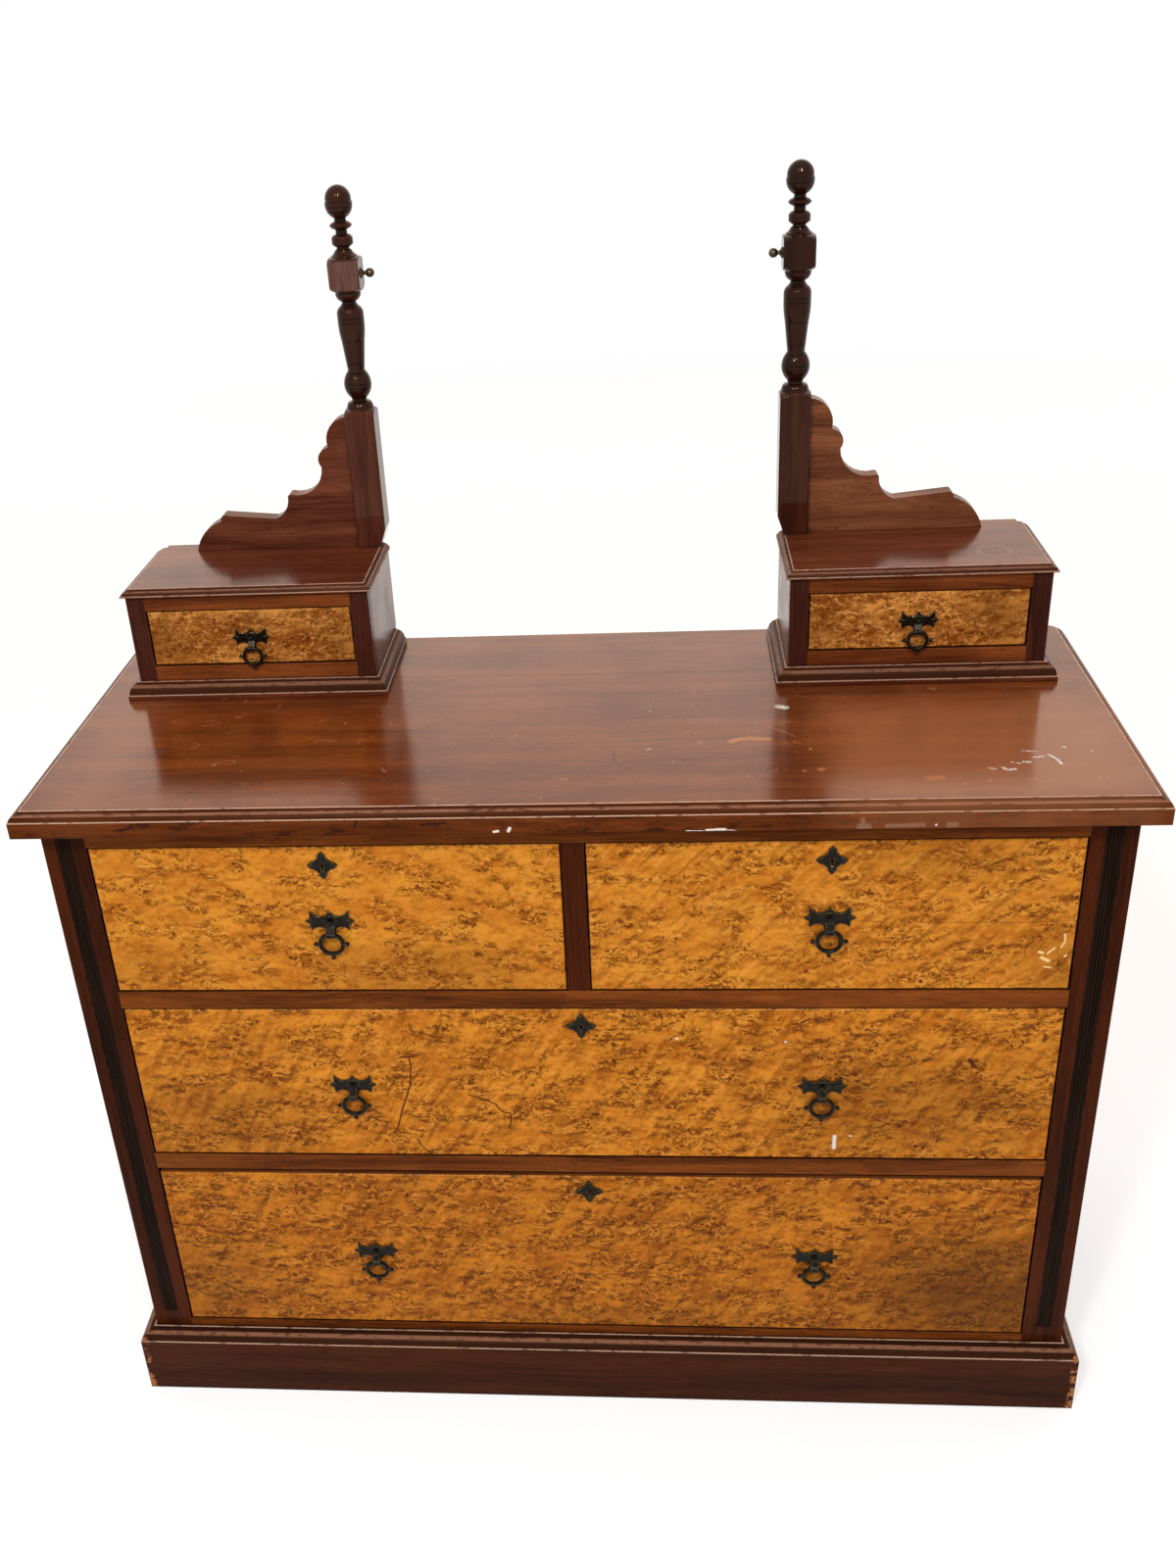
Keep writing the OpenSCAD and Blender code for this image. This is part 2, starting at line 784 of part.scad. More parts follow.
// Sides, back and bottom of a drawer
module drawer_body(k) {
    n = kind_len(k);
    color(pine) {
        pair()
            drawer_side(k);
        difference() {
            cuboid(-side_out(k), side_out(k), n - kind_back_t(k), n,
                panel_z(k) + kind_bottom_t(k) + glue, side_high(k) - back_drop);
            pair()
                along_x(side_out(k) - kind_side_t(k) - glue, side_out(k) + 1)
                    rear_tails(k, glue);
        }
        drawer_panel(k, 0, 0);
    }
}

// Board whose front face has eased edges
module eased_board(half, t, z0, z1) {
    intersection() {
        along_x(-half, half)
            polygon([[0, z0 + ease], [ease, z0], [t, z0], [t, z1], [ease, z1], [0, z1 - ease]]);
        translate([0, 0, z0])
            linear_extrude(z1 - z0)
                polygon([[ease - half, 0], [half - ease, 0], [half, ease], [half, t],
                    [-half, t], [-half, ease]]);
    }
}

// Keyhole outline with its round part on the origin
module keyhole() {
    circle(keyhole_r);
    translate([-keyhole_r / 2, -keyhole_r * 3.4])
        square([keyhole_r, keyhole_r * 3.4]);
}

module keyhole_cut(k, y0, y1) {
    along_y(y0, y1)
        translate([0, front_high(k) - keyhole_down])
            keyhole();
}

// Space of the lock let into the back of a drawer front, with a clearance and a length that
// opens it to the back and the top
module lock_space(k, fit, past) {
    cuboid(-lock_w / 2 - fit, lock_w / 2 + fit, kind_front_t(k) - lock_d, kind_front_t(k) + past,
        front_high(k) - lock_h - fit, front_high(k) + past);
}

module drawer_front(k) {
    color(burr)
        difference() {
            eased_board(side_out(k), kind_front_t(k), drawer_gap, front_high(k));
            pair()
                along_x(side_out(k) - kind_side_t(k), side_out(k) + 1)
                    front_tails(k, eps);
            drawer_panel(k, 0, 0);
            for (x = kind_handles(k))
                translate([x, -1, handle_z(k)])
                    rotate([-90, 0, 0])
                        cylinder(r = bolt_r + peg_gap, h = kind_front_t(k) + 2);
            if (kind_lock(k)) {
                keyhole_cut(k, -1, kind_front_t(k));
                lock_space(k, run_gap, 1);
            }
        }
}

// Domed head of a pin through a fitting whose back lies on Y = 0
module pin_head(r) {
    rotate([90, 0, 0])
        rotate_extrude()
            polygon(outline([[0, plate_t / 2, 0], [r, plate_t / 2, 0], [r, plate_t + 0.3, 0.3],
                [0, plate_t + 0.3 + 2 * r / 3, 0]], 5));
}

// Outline of a backplate: two horns above, two below, a pointed tip at each side
module plate_outline() {
    w = plate_half_w;
    h = plate_half_h;
    horn = 0.78 * w;
    half = [[0, -1.15 * h, 0], [4.6, -1.15 * h, 0], [5.2, -0.75 * h, -0.46],
        [horn - 1, -0.88 * h, 0], [horn, -0.8 * h, 0], [horn + 0.4, -0.26 * h, 0], [w, 0, 0],
        [horn + 0.4, 0.26 * h, 0], [horn + 0.4, h, 0], [horn - 1.6, 0.97 * h, -0.66],
        [0.8, 0.97 * h, 0], [0, h, 0]];
    pair()
        polygon(outline(half));
}

// Backplate with its boss, ball, pins, knuckle and bolt, facing -Y, with its back on Y = 0
module backplate() {
    difference() {
        union() {
            along_y(-plate_t, 0)
                plate_outline();
            rotate([90, 0, 0])
                rotate_extrude()
                    polygon(outline([[0, 0, 0], [boss_r, 0, 0], [boss_r, plate_t + 0.6, 0.4],
                        [boss_r - 2, plate_t + 1, 0], [3.2, plate_t + 0.8, 0],
                        [1.9, plate_t + 1, 0.657], [0, plate_t + 5.4, 0]], 6));
            along_x(-knuckle_w / 2, knuckle_w / 2)
                union() {
                    translate([-bar_out, -bar_down])
                        circle(knuckle_r);
                    polygon([[0, -1.15 * plate_half_h], [-bar_out, -bar_down - knuckle_r + 0.4],
                        [-bar_out - knuckle_r + 0.4, -bar_down],
                        [-plate_t - 0.6, 2 - boss_r], [0, 2 - boss_r]]);
                }
            for (side = [-1, 1])
                translate([side * 0.72 * plate_half_w, 0, 0])
                    pin_head(pin_r);
        }
        translate([-knuckle_w / 2 - 1, -bar_out, -bar_down])
            rotate([0, 90, 0])
                cylinder(r = bar_r + bar_gap, h = knuckle_w + 2);
    }
}

// Bolt from a backplate, drawn at the scale s, through a front t thick
module plate_bolt(t, s) {
    rotate([-90, 0, 0])
        translate([0, 0, -plate_t * s / 2])
            cylinder(r = bolt_r, h = t + nut_t + bolt_past + plate_t * s / 2);
}

// Square nut inside the drawer
module plate_nut(t) {
    translate([0, t, 0])
        rotate([-90, 0, 0])
            linear_extrude(nut_t)
                difference() {
                    square(nut_w, center = true);
                    circle(bolt_r + 0.05);
                }
}

module plates(k, s = 1) {
    color(bronze)
        for (x = kind_handles(k))
            translate([x, 0, handle_z(k)]) {
                scale(s)
                    backplate();
                plate_bolt(kind_front_t(k), s);
                plate_nut(kind_front_t(k));
            }
}

// Ball on a short collar that stands on the outside of a ring
module ring_ball() {
    rotate_extrude()
        polygon(outline([[0, ring_r, 0], [ring_collar_r, ring_r, 0],
            [ring_collar_r, ring_r + ring_collar_out, 0],
            [1.4, ring_r + ring_collar_out + 0.2, 0.716], [0, ring_r + ring_ball_out, 0]], 8));
}

// Ring with three balls, hanging from its straight bar. The origin is the backplate's centre.
module ring() {
    cut = knuckle_w / 2 + bar_gap;
    translate([0, -bar_out, -ring_drop]) {
        difference() {
            union() {
                rotate([90, 0, 0])
                    rotate_extrude()
                        translate([ring_r, 0])
                            circle(ring_wire_r, $fn = 24);
                for (a = [90, 180, 270])
                    rotate([0, a, 0])
                        ring_ball();
            }
            cuboid(-cut, cut, -5, 5, 0, ring_r + 5);
        }
        translate([-cut - 0.5, 0, bar_up])
            rotate([0, 90, 0])
                cylinder(r = bar_r, h = 2 * cut + 1, $fn = 32);
    }
}

module ring_of(k, i, s = 1) {
    color(bronze)
        translate([kind_handles(k)[i], 0, handle_z(k)])
            scale(s)
                ring();
}

// Escutcheon outline: a hollow sided diamond with a pointed lobe at each corner
module escutcheon_outline() {
    w = escutcheon_half_w;
    h = escutcheon_half_h;
    quarter = [[w, 0, 0], [0.76 * w, 0.24 * h, 0], [0.6 * w, 0.24 * h, -0.08],
        [0.24 * w, 0.58 * h, 0], [0.27 * w, 0.72 * h, 0], [0, h, 0], [0, 0, 0]];
    pair()
        for (flip = [0, 1])
            mirror([0, flip])
                polygon(outline(quarter));
}

module escutcheon() {
    difference() {
        along_y(-plate_t, 0)
            escutcheon_outline();
        along_y(-plate_t - 1, 1)
            keyhole();
    }
    for (p = [[0.74, 0], [-0.74, 0], [0, 0.74], [0, -0.74]])
        translate([p[0] * escutcheon_half_w, 0, p[1] * escutcheon_half_h])
            pin_head(pin_r);
}

// Bolt of a lock, drawn in flush with the case, and the slot that it slides in
module lock_bolt(k, fit, past) {
    y0 = kind_front_t(k) - lock_d + lock_wall;
    y1 = kind_front_t(k) - lock_wall;
    z0 = front_high(k) - lock_bolt_deep;
    cuboid(fit - lock_bolt_w / 2, lock_bolt_w / 2 - fit, y0 + fit, y1 - fit,
        z0 + (fit > 0 ? glue : 0), front_high(k) + past);
}

// Escutcheon and the lock let into the back of the drawer front
module lock(k) {
    t = kind_front_t(k);
    color(bronze) {
        translate([0, 0, front_high(k) - keyhole_down])
            escutcheon();
        difference() {
            lock_space(k, 0, 0);
            lock_bolt(k, 0, 1);
        }
        lock_bolt(k, lock_bolt_gap, -run_gap);
        translate([0, t - lock_d - key_pin_len, front_high(k) - keyhole_down])
            rotate([-90, 0, 0])
                cylinder(r = key_pin_r, h = key_pin_len + eps, $fn = 24);
    }
}

module box_base() {
    color(mahogany)
        translate([box_x, base_y, chest_h])
            moulded_slab(box_base_w, box_base_d, box_base_t, base_mould_w, base_mould_h,
                box_corner_r);
}

module box_top() {
    color(mahogany)
        difference() {
            translate([box_x, body_y - box_top_out, lid_z])
                moulded_slab(body_w + 2 * box_top_out, body_d + box_top_out, box_top_t,
                    lid_mould_w, lid_mould_h, box_corner_r);
            translate([tenon_x, tenon_y, lid_z - 1])
                cylinder(r = tenon_r + peg_gap, h = box_top_t + 2);
        }
}

// Front frame of a box: two stiles with two rails between them
module box_frame() {
    color(mahogany)
        translate([box_x, body_y, 0]) {
            pair()
                cuboid(box_open_w / 2, body_w / 2, 0, box_frame_t, body_z, lid_z);
            cuboid(glue - box_open_w / 2, box_open_w / 2 - glue, 0, box_frame_t,
                body_z, box_open_z);
            cuboid(glue - box_open_w / 2, box_open_w / 2 - glue, 0, box_frame_t,
                box_open_z + box_open_h, lid_z);
        }
}

// Sides, back, floor and guides of a box
module box_case() {
    y1 = body_d - box_back_t;
    between = box_inside_w / 2 - glue;
    color(mahogany)
        translate([box_x, body_y, 0]) {
            pair() {
                cuboid(box_inside_w / 2, body_w / 2, box_frame_t, body_d, body_z, lid_z);
                cuboid(box_open_w / 2, between, box_frame_t, y1 - glue,
                    box_open_z + glue, box_open_z + box_back_t);
            }
            cuboid(-between, between, y1, body_d, body_z, lid_z);
            cuboid(-between, between, box_frame_t, y1 - glue,
                box_open_z - box_back_t, box_open_z);
        }
}

// Turned outline of a standard, [radius, height over its foot, bulge]. The square parts lie
// inside the wide stretches, so the turning only rounds the ends of their corners.
function post_profile() =
    let (wide = post_w / sqrt(2) + 1)
    concat([[0, 0, 0], [wide, 0, 0], [wide, shank_h - 9 * turn_h, 0.22]],
        [for (p = [
            [14.5, 0, 0.15], [12, 7, 0], [8, 8.5, 0], [8, 11, 0.21],
            [14.6, 25, 0.19], [9, 40, 0],
            [9, 41, 0], [12.2, 71, 0.05], [14, 91.5, 0], [14, 99, 0.25], [9.5, 106.7, 0],
            [7.5, 109.5, 0], [7.5, 111.3, 0], [9.4, 112, 0.22], [13.4, 119, 0]])
            [turn_w * p[0], shank_h + turn_h * p[1], p[2]]],
        [[13.4 * turn_w, shank_h + block_low, 0.22], [wide, shank_h + block_low + 9 * turn_h, 0],
            [wide, shank_h + block_high - 8 * turn_h, 0.22]],
        [for (p = [
            [13.3, 156, 0], [13.3, 157, -0.2], [8.6, 162, 0],
            [6.7, 163.4, 0], [6.7, 165.4, 0], [8.6, 165.8, 0], [10.9, 168, 0], [10.9, 174.4, 0],
            [8.6, 176.8, 0], [5.9, 178, 0], [5.9, 181.8, 0],
            [7, 182.2, 0.2], [11.7, 186, 0.2], [7, 189.8, 0],
            [6, 190.6, 0], [6, 193, 0.3], [14, 206.6, 0], [13.9, 208.8, 0],
            [13.2, 209.3, 0.45], [0, 225, 0]])
            [turn_w * p[0], shank_h + turn_h * p[1], p[2]]]);

module post() {
    half = post_w / 2;
    c = post_chamfer;
    // Heights over the shank and radii of the turned lines
    lines = [[23, 14.45], [27, 14.55], [38, 10.6], [48, 9.75], [71, 12.2], [90.5, 14], [94.5, 14],
        [200, 12.7], [204, 13.85]];
    color(mahogany)
        translate([post_x, post_y, post_z]) {
            difference() {
                intersection() {
                    linear_extrude(shank_h + turned_h + 1)
                        polygon([[c - half, -half], [half - c, -half], [half, c - half],
                            [half, half - c], [half - c, half], [c - half, half],
                            [-half, half - c], [-half, c - half]]);
                    rotate_extrude()
                        polygon(outline(post_profile(), 8));
                }
                along_y(-post_w, post_w)
                    polygon([[-half - 1, -1], [foot_cut_w - half, -1], [foot_cut_w - half, 0],
                        [-half, foot_cut_h], [-half - 1, foot_cut_h]]);
                for (p = lines)
                    translate([0, 0, shank_h + turn_h * p[0]])
                        rotate_extrude()
                            polygon([[turn_w * p[1] - 0.6, 0], [turn_w * p[1] + 0.6, -0.6],
                                [turn_w * p[1] + 0.6, 0.6]]);
                translate([-half - 1, 0, pivot_z - post_z])
                    rotate([0, 90, 0])
                        cylinder(r = pivot_shank_r + peg_gap, h = pivot_shank_len + 2);
            }
            translate([tenon_x - post_x, tenon_y - post_y, -box_top_t])
                cylinder(r = tenon_r, h = box_top_t + eps);
        }
}

// Scroll bracket, from the standard along the top of the box to its nose. Its outline is given
// in shares of its length and height.
module bracket() {
    shares = [[0, 0, 0], [1, 0, 0.28], [0.828, 0.23, 0.4], [0.809, 0.276, 0],
        [0.494, 0.237, -0.32], [0.4, 0.393, 0.5], [0.3825, 0.424, -0.5], [0.175, 0.627, 0.55],
        [0.135, 0.769, 0], [0.123, 0.778, 0.46], [0, 1, 0]];
    path = [for (p = shares) [bracket_len * p[0], bracket_h * p[1], p[2]]];
    color(mahogany)
        translate([post_x + post_w / 2, post_y + bracket_t / 2, post_z])
            rotate([90, 0, 0])
                linear_extrude(bracket_t)
                    polygon(outline(path));
}

// Ball ended pivot on the inner face of each standard's block
module mirror_pivots() {
    ball_low = pivot_out - sqrt(pow(pivot_ball_r, 2) - pow(pivot_neck_r, 2));
    profile = concat([[0, -pivot_shank_len], [pivot_shank_r, -pivot_shank_len],
        [pivot_shank_r, 0], [pivot_rose_r, 0], [pivot_rose_r, pivot_rose_t / 4],
        [pivot_neck_r + 1, pivot_rose_t - 0.6], [pivot_neck_r, pivot_rose_t + 0.2],
        [pivot_neck_r, ball_low]],
        [for (i = [1:9])
            let (a0 = acos((ball_low - pivot_out) / pivot_ball_r), a = a0 * (1 - i / 9))
            [pivot_ball_r * sin(a), pivot_out + pivot_ball_r * cos(a)]]);
    color(bronze)
        pair()
            translate([post_in, post_y, pivot_z])
                rotate([0, -90, 0])
                    rotate_extrude()
                        polygon(profile);
}

module at_short(side) {
    translate([side * short_x, front_y, short_z])
        children();
}

module at_middle() {
    translate([0, front_y, middle_z])
        children();
}

module at_bottom() {
    translate([0, front_y, bottom_z])
        children();
}

module at_box(side) {
    translate([side * box_x, body_y, box_open_z])
        children();
}

top_front_board();
top_rear_board();
at_side(false) carcass_side();  // side_left
at_side(true) carcass_side();  // side_right
stiles();
reeded_bands();
top_rails();
upper_rail();
lower_rail();
bottom_rail();
dustboards();
drawer_runners();
bottom_board();
back_boards();
plinth_front();
plinth_returns();
glue_blocks();
at_side(false) box_base();  // box_base_left
at_side(true) box_base();  // box_base_right
at_side(false) box_case();  // box_case_left
at_side(true) box_case();  // box_case_right
at_side(false) box_frame();  // box_frame_left
at_side(true) box_frame();  // box_frame_right
at_side(false) box_top();  // box_top_left
at_side(true) box_top();  // box_top_right
at_side(false) post();  // post_left
at_side(true) post();  // post_right
at_side(false) bracket();  // bracket_left
at_side(true) bracket();  // bracket_right
mirror_pivots();
at_short(-1) drawer_front(short_kind);  // short_left_front
at_short(-1) drawer_body(short_kind);  // short_left_box
at_short(-1) plates(short_kind);  // short_left_plate
at_short(-1) lock(short_kind);  // short_left_lock
at_short(-1) ring_of(short_kind, 0);  // short_left_ring
at_short(1) drawer_front(short_kind);  // short_right_front
at_short(1) drawer_body(short_kind);  // short_right_box
at_short(1) plates(short_kind);  // short_right_plate
at_short(1) lock(short_kind);  // short_right_lock
at_short(1) ring_of(short_kind, 0);  // short_right_ring
at_middle() drawer_front(middle_kind);  // middle_front
at_middle() drawer_body(middle_kind);  // middle_box
at_middle() plates(middle_kind);  // middle_plates
at_middle() lock(middle_kind);  // middle_lock
at_middle() ring_of(middle_kind, 0);  // middle_ring_left
at_middle() ring_of(middle_kind, 1);  // middle_ring_right
at_bottom() drawer_front(bottom_kind);  // bottom_front
at_bottom() drawer_body(bottom_kind);  // bottom_box
at_bottom() plates(bottom_kind);  // bottom_plates
at_bottom() lock(bottom_kind);  // bottom_lock
at_bottom() ring_of(bottom_kind, 0);  // bottom_ring_left
at_bottom() ring_of(bottom_kind, 1);  // bottom_ring_right
at_box(-1) drawer_front(box_kind);  // box_left_front
at_box(-1) drawer_body(box_kind);  // box_left_drawer
at_box(-1) plates(box_kind, small_handle);  // box_left_plate
at_box(-1) ring_of(box_kind, 0, small_handle);  // box_left_ring
at_box(1) drawer_front(box_kind);  // box_right_front
at_box(1) drawer_body(box_kind);  // box_right_drawer
at_box(1) plates(box_kind, small_handle);  // box_right_plate
at_box(1) ring_of(box_kind, 0, small_handle);  // box_right_ring
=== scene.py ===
import math

import bpy
from mathutils import Matrix, Vector

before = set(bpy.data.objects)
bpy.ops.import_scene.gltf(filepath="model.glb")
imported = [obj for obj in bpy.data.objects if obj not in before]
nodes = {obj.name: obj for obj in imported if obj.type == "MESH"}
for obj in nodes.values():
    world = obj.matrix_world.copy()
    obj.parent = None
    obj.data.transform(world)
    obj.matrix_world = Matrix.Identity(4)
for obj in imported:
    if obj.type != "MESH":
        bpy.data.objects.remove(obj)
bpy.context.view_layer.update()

# Places on the object, in millimetres: X to the right, Y to the back, Z up
FRONT = -180.0                  # face of the four drawers of the chest
EDGE = FRONT - 25.0             # front edge of the top
TOP = 788.0                     # upper face of the top
TOP_HALF = 533.5                # half the width of the top
TOP_JOINT = 92.0                # joint of its two boards
PLINTH_TOP = 87.0
PLINTH_HALF = 532.5             # half the width over the moulding of the plinth
PLINTH_FRONT = FRONT - 17.0     # front of that moulding
CORNER = (529.0, FRONT - 16.0)  # front corner of the plinth under the moulding
BOX_X = 349.0                   # from the middle of the chest to the middle of a small box
BOX_OPEN = 111.0                # half the width of the opening for the box's drawer
BOX_BASE = 806.0                # upper face of the box's base
BASE_HALF, BASE_FRONT = 143.0, 48.0
BOX_TOP = 911.0                 # upper face of the box's top
LID_HALF, LID_FRONT = 135.0, 56.0
SHANK = 1063.0                  # end of the square part of a post
VENEER = 1.6                    # how deep the burr shows at the edges of a drawer front
MM = 1000.0                     # in a metre

# Width and height of each moulding
TOP_MOULD = (9.5, 8.0)
PLINTH_MOULD = (14.0, 11.0)
BASE_MOULD = (9.5, 12.5)
LID_MOULD = (7.5, 6.0)

# Colours of marks, as they look on a screen, 0 to 255
WORN = (226, 184, 154)
# the painted highlight along the round of a moulding
ROUND_HIGHLIGHT = (176, 122, 92)
PAINT = (236, 226, 212)
CHIP = (172, 110, 70)
SCRATCH = (84, 36, 14)


def srgb(r, g, b):
    """A colour given as it looks on a screen, 0 to 255, as Blender's linear colour."""
    def linear(c):
        c /= 255
        return c / 12.92 if c <= 0.04045 else ((c + 0.055) / 1.055) ** 2.4
    return (linear(r), linear(g), linear(b), 1.0)


class Graph:
    """Short names for the nodes of one tree. A value is a number, a tuple or a node's socket."""

    def __init__(self, tree):
        self.tree = tree

    def node(self, kind, ins=None, **props):
        n = self.tree.nodes.new("ShaderNode" + kind)
        for key, value in props.items():
            setattr(n, key, value)
        for key, value in (ins or {}).items():
            self.put(n.inputs[key], value)
        return n

    def put(self, socket, value):
        if isinstance(value, bpy.types.NodeSocket):
            self.tree.links.new(value, socket)
        elif value is not None:
            socket.default_value = value

    def math(self, op, a, b=None):
        return self.node("Math", {0: a, 1: b}, operation=op).outputs[0]

    def add(self, a, b):
        return self.math("ADD", a, b)

    def sub(self, a, b):
        return self.math("SUBTRACT", a, b)

    def mul(self, a, b):
        return self.math("MULTIPLY", a, b)

    def most(self, a, b):
        return self.math("MAXIMUM", a, b)

    def abs(self, a):
        return self.math("ABSOLUTE", a)

    def vec(self, op, a, b=None, scale=None):
        n = self.node("VectorMath", {0: a, 1: b}, operation=op)
        if scale is not None:
            self.put(n.inputs["Scale"], scale)
        return n.outputs["Value" if op in ("LENGTH", "DOT_PRODUCT") else "Vector"]

    def combine(self, x, y, z):
        return self.node("CombineXYZ", {0: x, 1: y, 2: z}).outputs[0]

    def split(self, v):
        return self.node("SeparateXYZ", {0: v}).outputs

    def step(self, value, low, high, to_low=0.0, to_high=1.0):
        """A smooth step from to_low at low to to_high at high."""
        n = self.node("MapRange", {0: value, 1: low, 2: high, 3: to_low, 4: to_high},
                      interpolation_type="SMOOTHSTEP")
        return n.outputs[0]

    def noise(self, v, detail=2.0, rough=0.5):
        n = self.node("TexNoise", {"Vector": v, "Scale": 1.0, "Detail": detail,
                                   "Roughness": rough})
        return n.outputs["Fac"]

    def lumps(self, v, size, detail, rough=0.5):
        """Noise in lumps as long as size says, in millimetres along each axis."""
        shrunk = self.vec("MULTIPLY", v, tuple(1 / length for length in size))
        return self.noise(shrunk, detail, rough)

    def noise_vector(self, v, detail=1.0):
        """A noise of three parts, each to both sides of 0."""
        n = self.node("TexNoise", {"Vector": v, "Scale": 1.0, "Detail": detail})
        return self.vec("SUBTRACT", n.outputs["Color"], (0.5, 0.5, 0.5))

    def shake(self, v, size, by, detail=1.0):
        """How far a noise in lumps of one size moves the point v, both in millimetres."""
        noise = self.noise_vector(self.vec("SCALE", v, scale=1 / size), detail)
        return self.vec("SCALE", noise, scale=by)

    def shaken(self, v, size, by, detail):
        """The point v, moved by that shake."""
        return self.vec("ADD", v, self.shake(v, size, by, detail))

    def cells(self, v):
        """Cells a unit wide, each with its own colour and the distance from its middle."""
        return self.node("TexVoronoi", {"Vector": v, "Scale": 1.0},
                         voronoi_dimensions="3D").outputs

    def mix(self, share, a, b):
        n = self.node("Mix", data_type="RGBA")
        self.put(n.inputs[0], share)
        self.put(n.inputs[6], a)
        self.put(n.inputs[7], b)
        return n.outputs[2]


def near_line(g, p, a, b, radius):
    """1 on the line from a to b, falling to 0 between half its radius and one and a half."""
    a, b = Vector(a), Vector(b)
    along = b - a
    rel = g.vec("SUBTRACT", p, tuple(a))
    share = g.math("DIVIDE", g.vec("DOT_PRODUCT", rel, tuple(along)),
                   max(along.length_squared, 1e-6))
    share = g.math("MINIMUM", g.most(share, 0.0), 1.0)
    foot = g.vec("SCALE", tuple(along), scale=share)
    away = g.vec("LENGTH", g.vec("SUBTRACT", rel, foot))
    return g.step(away, radius * 1.5, radius * 0.5)


def union(g, masks):
    """The highest of several masks."""
    out, *others = masks
    for mask in others:
        out = g.most(out, mask)
    return out


def near_lines(g, p, lines):
    """The union of several lines, each (a, b, radius)."""
    return union(g, [near_line(g, p, *line) for line in lines])


# Materials. Each starts from the point in millimetres and ends in one shader.
def start(name):
    """A new material, with the point in millimetres and its X, Y and Z."""
    mat = bpy.data.materials.new(name)
    mat.use_nodes = True
    tree = mat.node_tree
    tree.nodes.clear()
    g = Graph(tree)
    g.mat = mat
    g.point = g.vec("SCALE", g.node("TexCoord").outputs["Object"], scale=MM)
    g.xyz = g.split(g.point)
    return g


def close(g, colour, roughness, normal, metallic=0.0, specular=0.5, coat=0.0,
          coat_roughness=0.1, coat_ior=1.5, tint=(1.0, 1.0, 1.0)):
    """The shader. What is the same all over the surface is set on its own sockets."""
    shader = g.node("BsdfPrincipled")
    g.put(shader.inputs["Base Color"], colour)
    g.put(shader.inputs["Roughness"], roughness)
    g.put(shader.inputs["Metallic"], metallic)
    shader.inputs["Specular IOR Level"].default_value = specular
    shader.inputs["Specular Tint"].default_value = (*tint, 1.0)
    g.put(shader.inputs["Coat Weight"], coat)
    shader.inputs["Coat Roughness"].default_value = coat_roughness
    shader.inputs["Coat IOR"].default_value = coat_ior
    g.put(shader.inputs["Normal"], normal)
    g.put(shader.inputs["Coat Normal"], normal)
    out = g.node("OutputMaterial")
    g.tree.links.new(shader.outputs[0], out.inputs[0])
    return g.mat


def grain_space(g, axis, seed):
    """The point in millimetres with X along the grain, moved by the seed."""
    x, y, z = g.xyz
    order = {"X": (x, y, z), "Y": (y, x, z), "Z": (z, x, y)}[axis]
    return g.vec("ADD", g.combine(*order), (311.0 * seed, 173.0 * seed, 97.0 * seed))


CREASE_SHADE_REACH = 0.012  # metres from a corner


def edges(g, radius):
    """Rounded normal, mask of the arrises, and mask of the corners and creases, where shade is
    painted.
    """
    bevel = g.node("Bevel", {"Radius": radius / MM}, samples=4)
    plain = g.node("NewGeometry").outputs["Normal"]
    turn = g.sub(1.0, g.vec("DOT_PRODUCT", bevel.outputs[0], plain))
    ao = g.node("AmbientOcclusion", {"Distance": CREASE_SHADE_REACH}, samples=6).outputs["AO"]
    arris = g.mul(g.step(turn, 0.02, 0.2), g.step(ao, 0.55, 0.8))
    crease_shade = g.step(ao, 0.75, 0.25)
    return bevel.outputs[0], arris, crease_shade


PORE_COLOUR = (0.004, 0.0015, 0.001, 1)


def wood_colour(g, v, dark, light, fine=1.0):
    """Long grained wood: its colour, and the fine streaks and short dark pores in it."""
    sway = g.noise_vector(g.vec("MULTIPLY", v, (1 / 260, 1 / 55, 1 / 55)))
    v = g.vec("ADD", v, g.vec("MULTIPLY", sway, (0.0, 26.0, 26.0)))
    broad = g.lumps(v, (420, 26, 26), 3.0, 0.55)
    streak = g.lumps(v, (110, 2.2, 2.2), 3.0, 0.6)
    pore = g.lumps(v, (16, 0.7, 0.7), 1.0)
    tone = g.add(g.mul(g.step(broad, 0.3, 0.7), 0.6), g.mul(g.step(streak, 0.3, 0.72), 0.4))
    pores = g.mul(g.step(pore, 0.58, 0.72), 0.55 * fine)
    colour = g.mix(pores, g.mix(tone, dark, light), PORE_COLOUR)
    return colour, streak, pore


def bump(g, height, strength, distance, normal):
    return g.node("Bump", {"Strength": strength, "Distance": distance, "Height": height,
                           "Normal": normal}).outputs[0]


def add_marks(g, marks, colour, rough):
    """Lays marks over a surface, each a mask, a colour and what it adds to the roughness."""
    for mark, shade, add_rough in marks:
        mask = mark(g)
        colour = g.mix(mask, colour, srgb(*shade))
        rough = g.add(rough, g.mul(mask, add_rough))
    return colour, rough


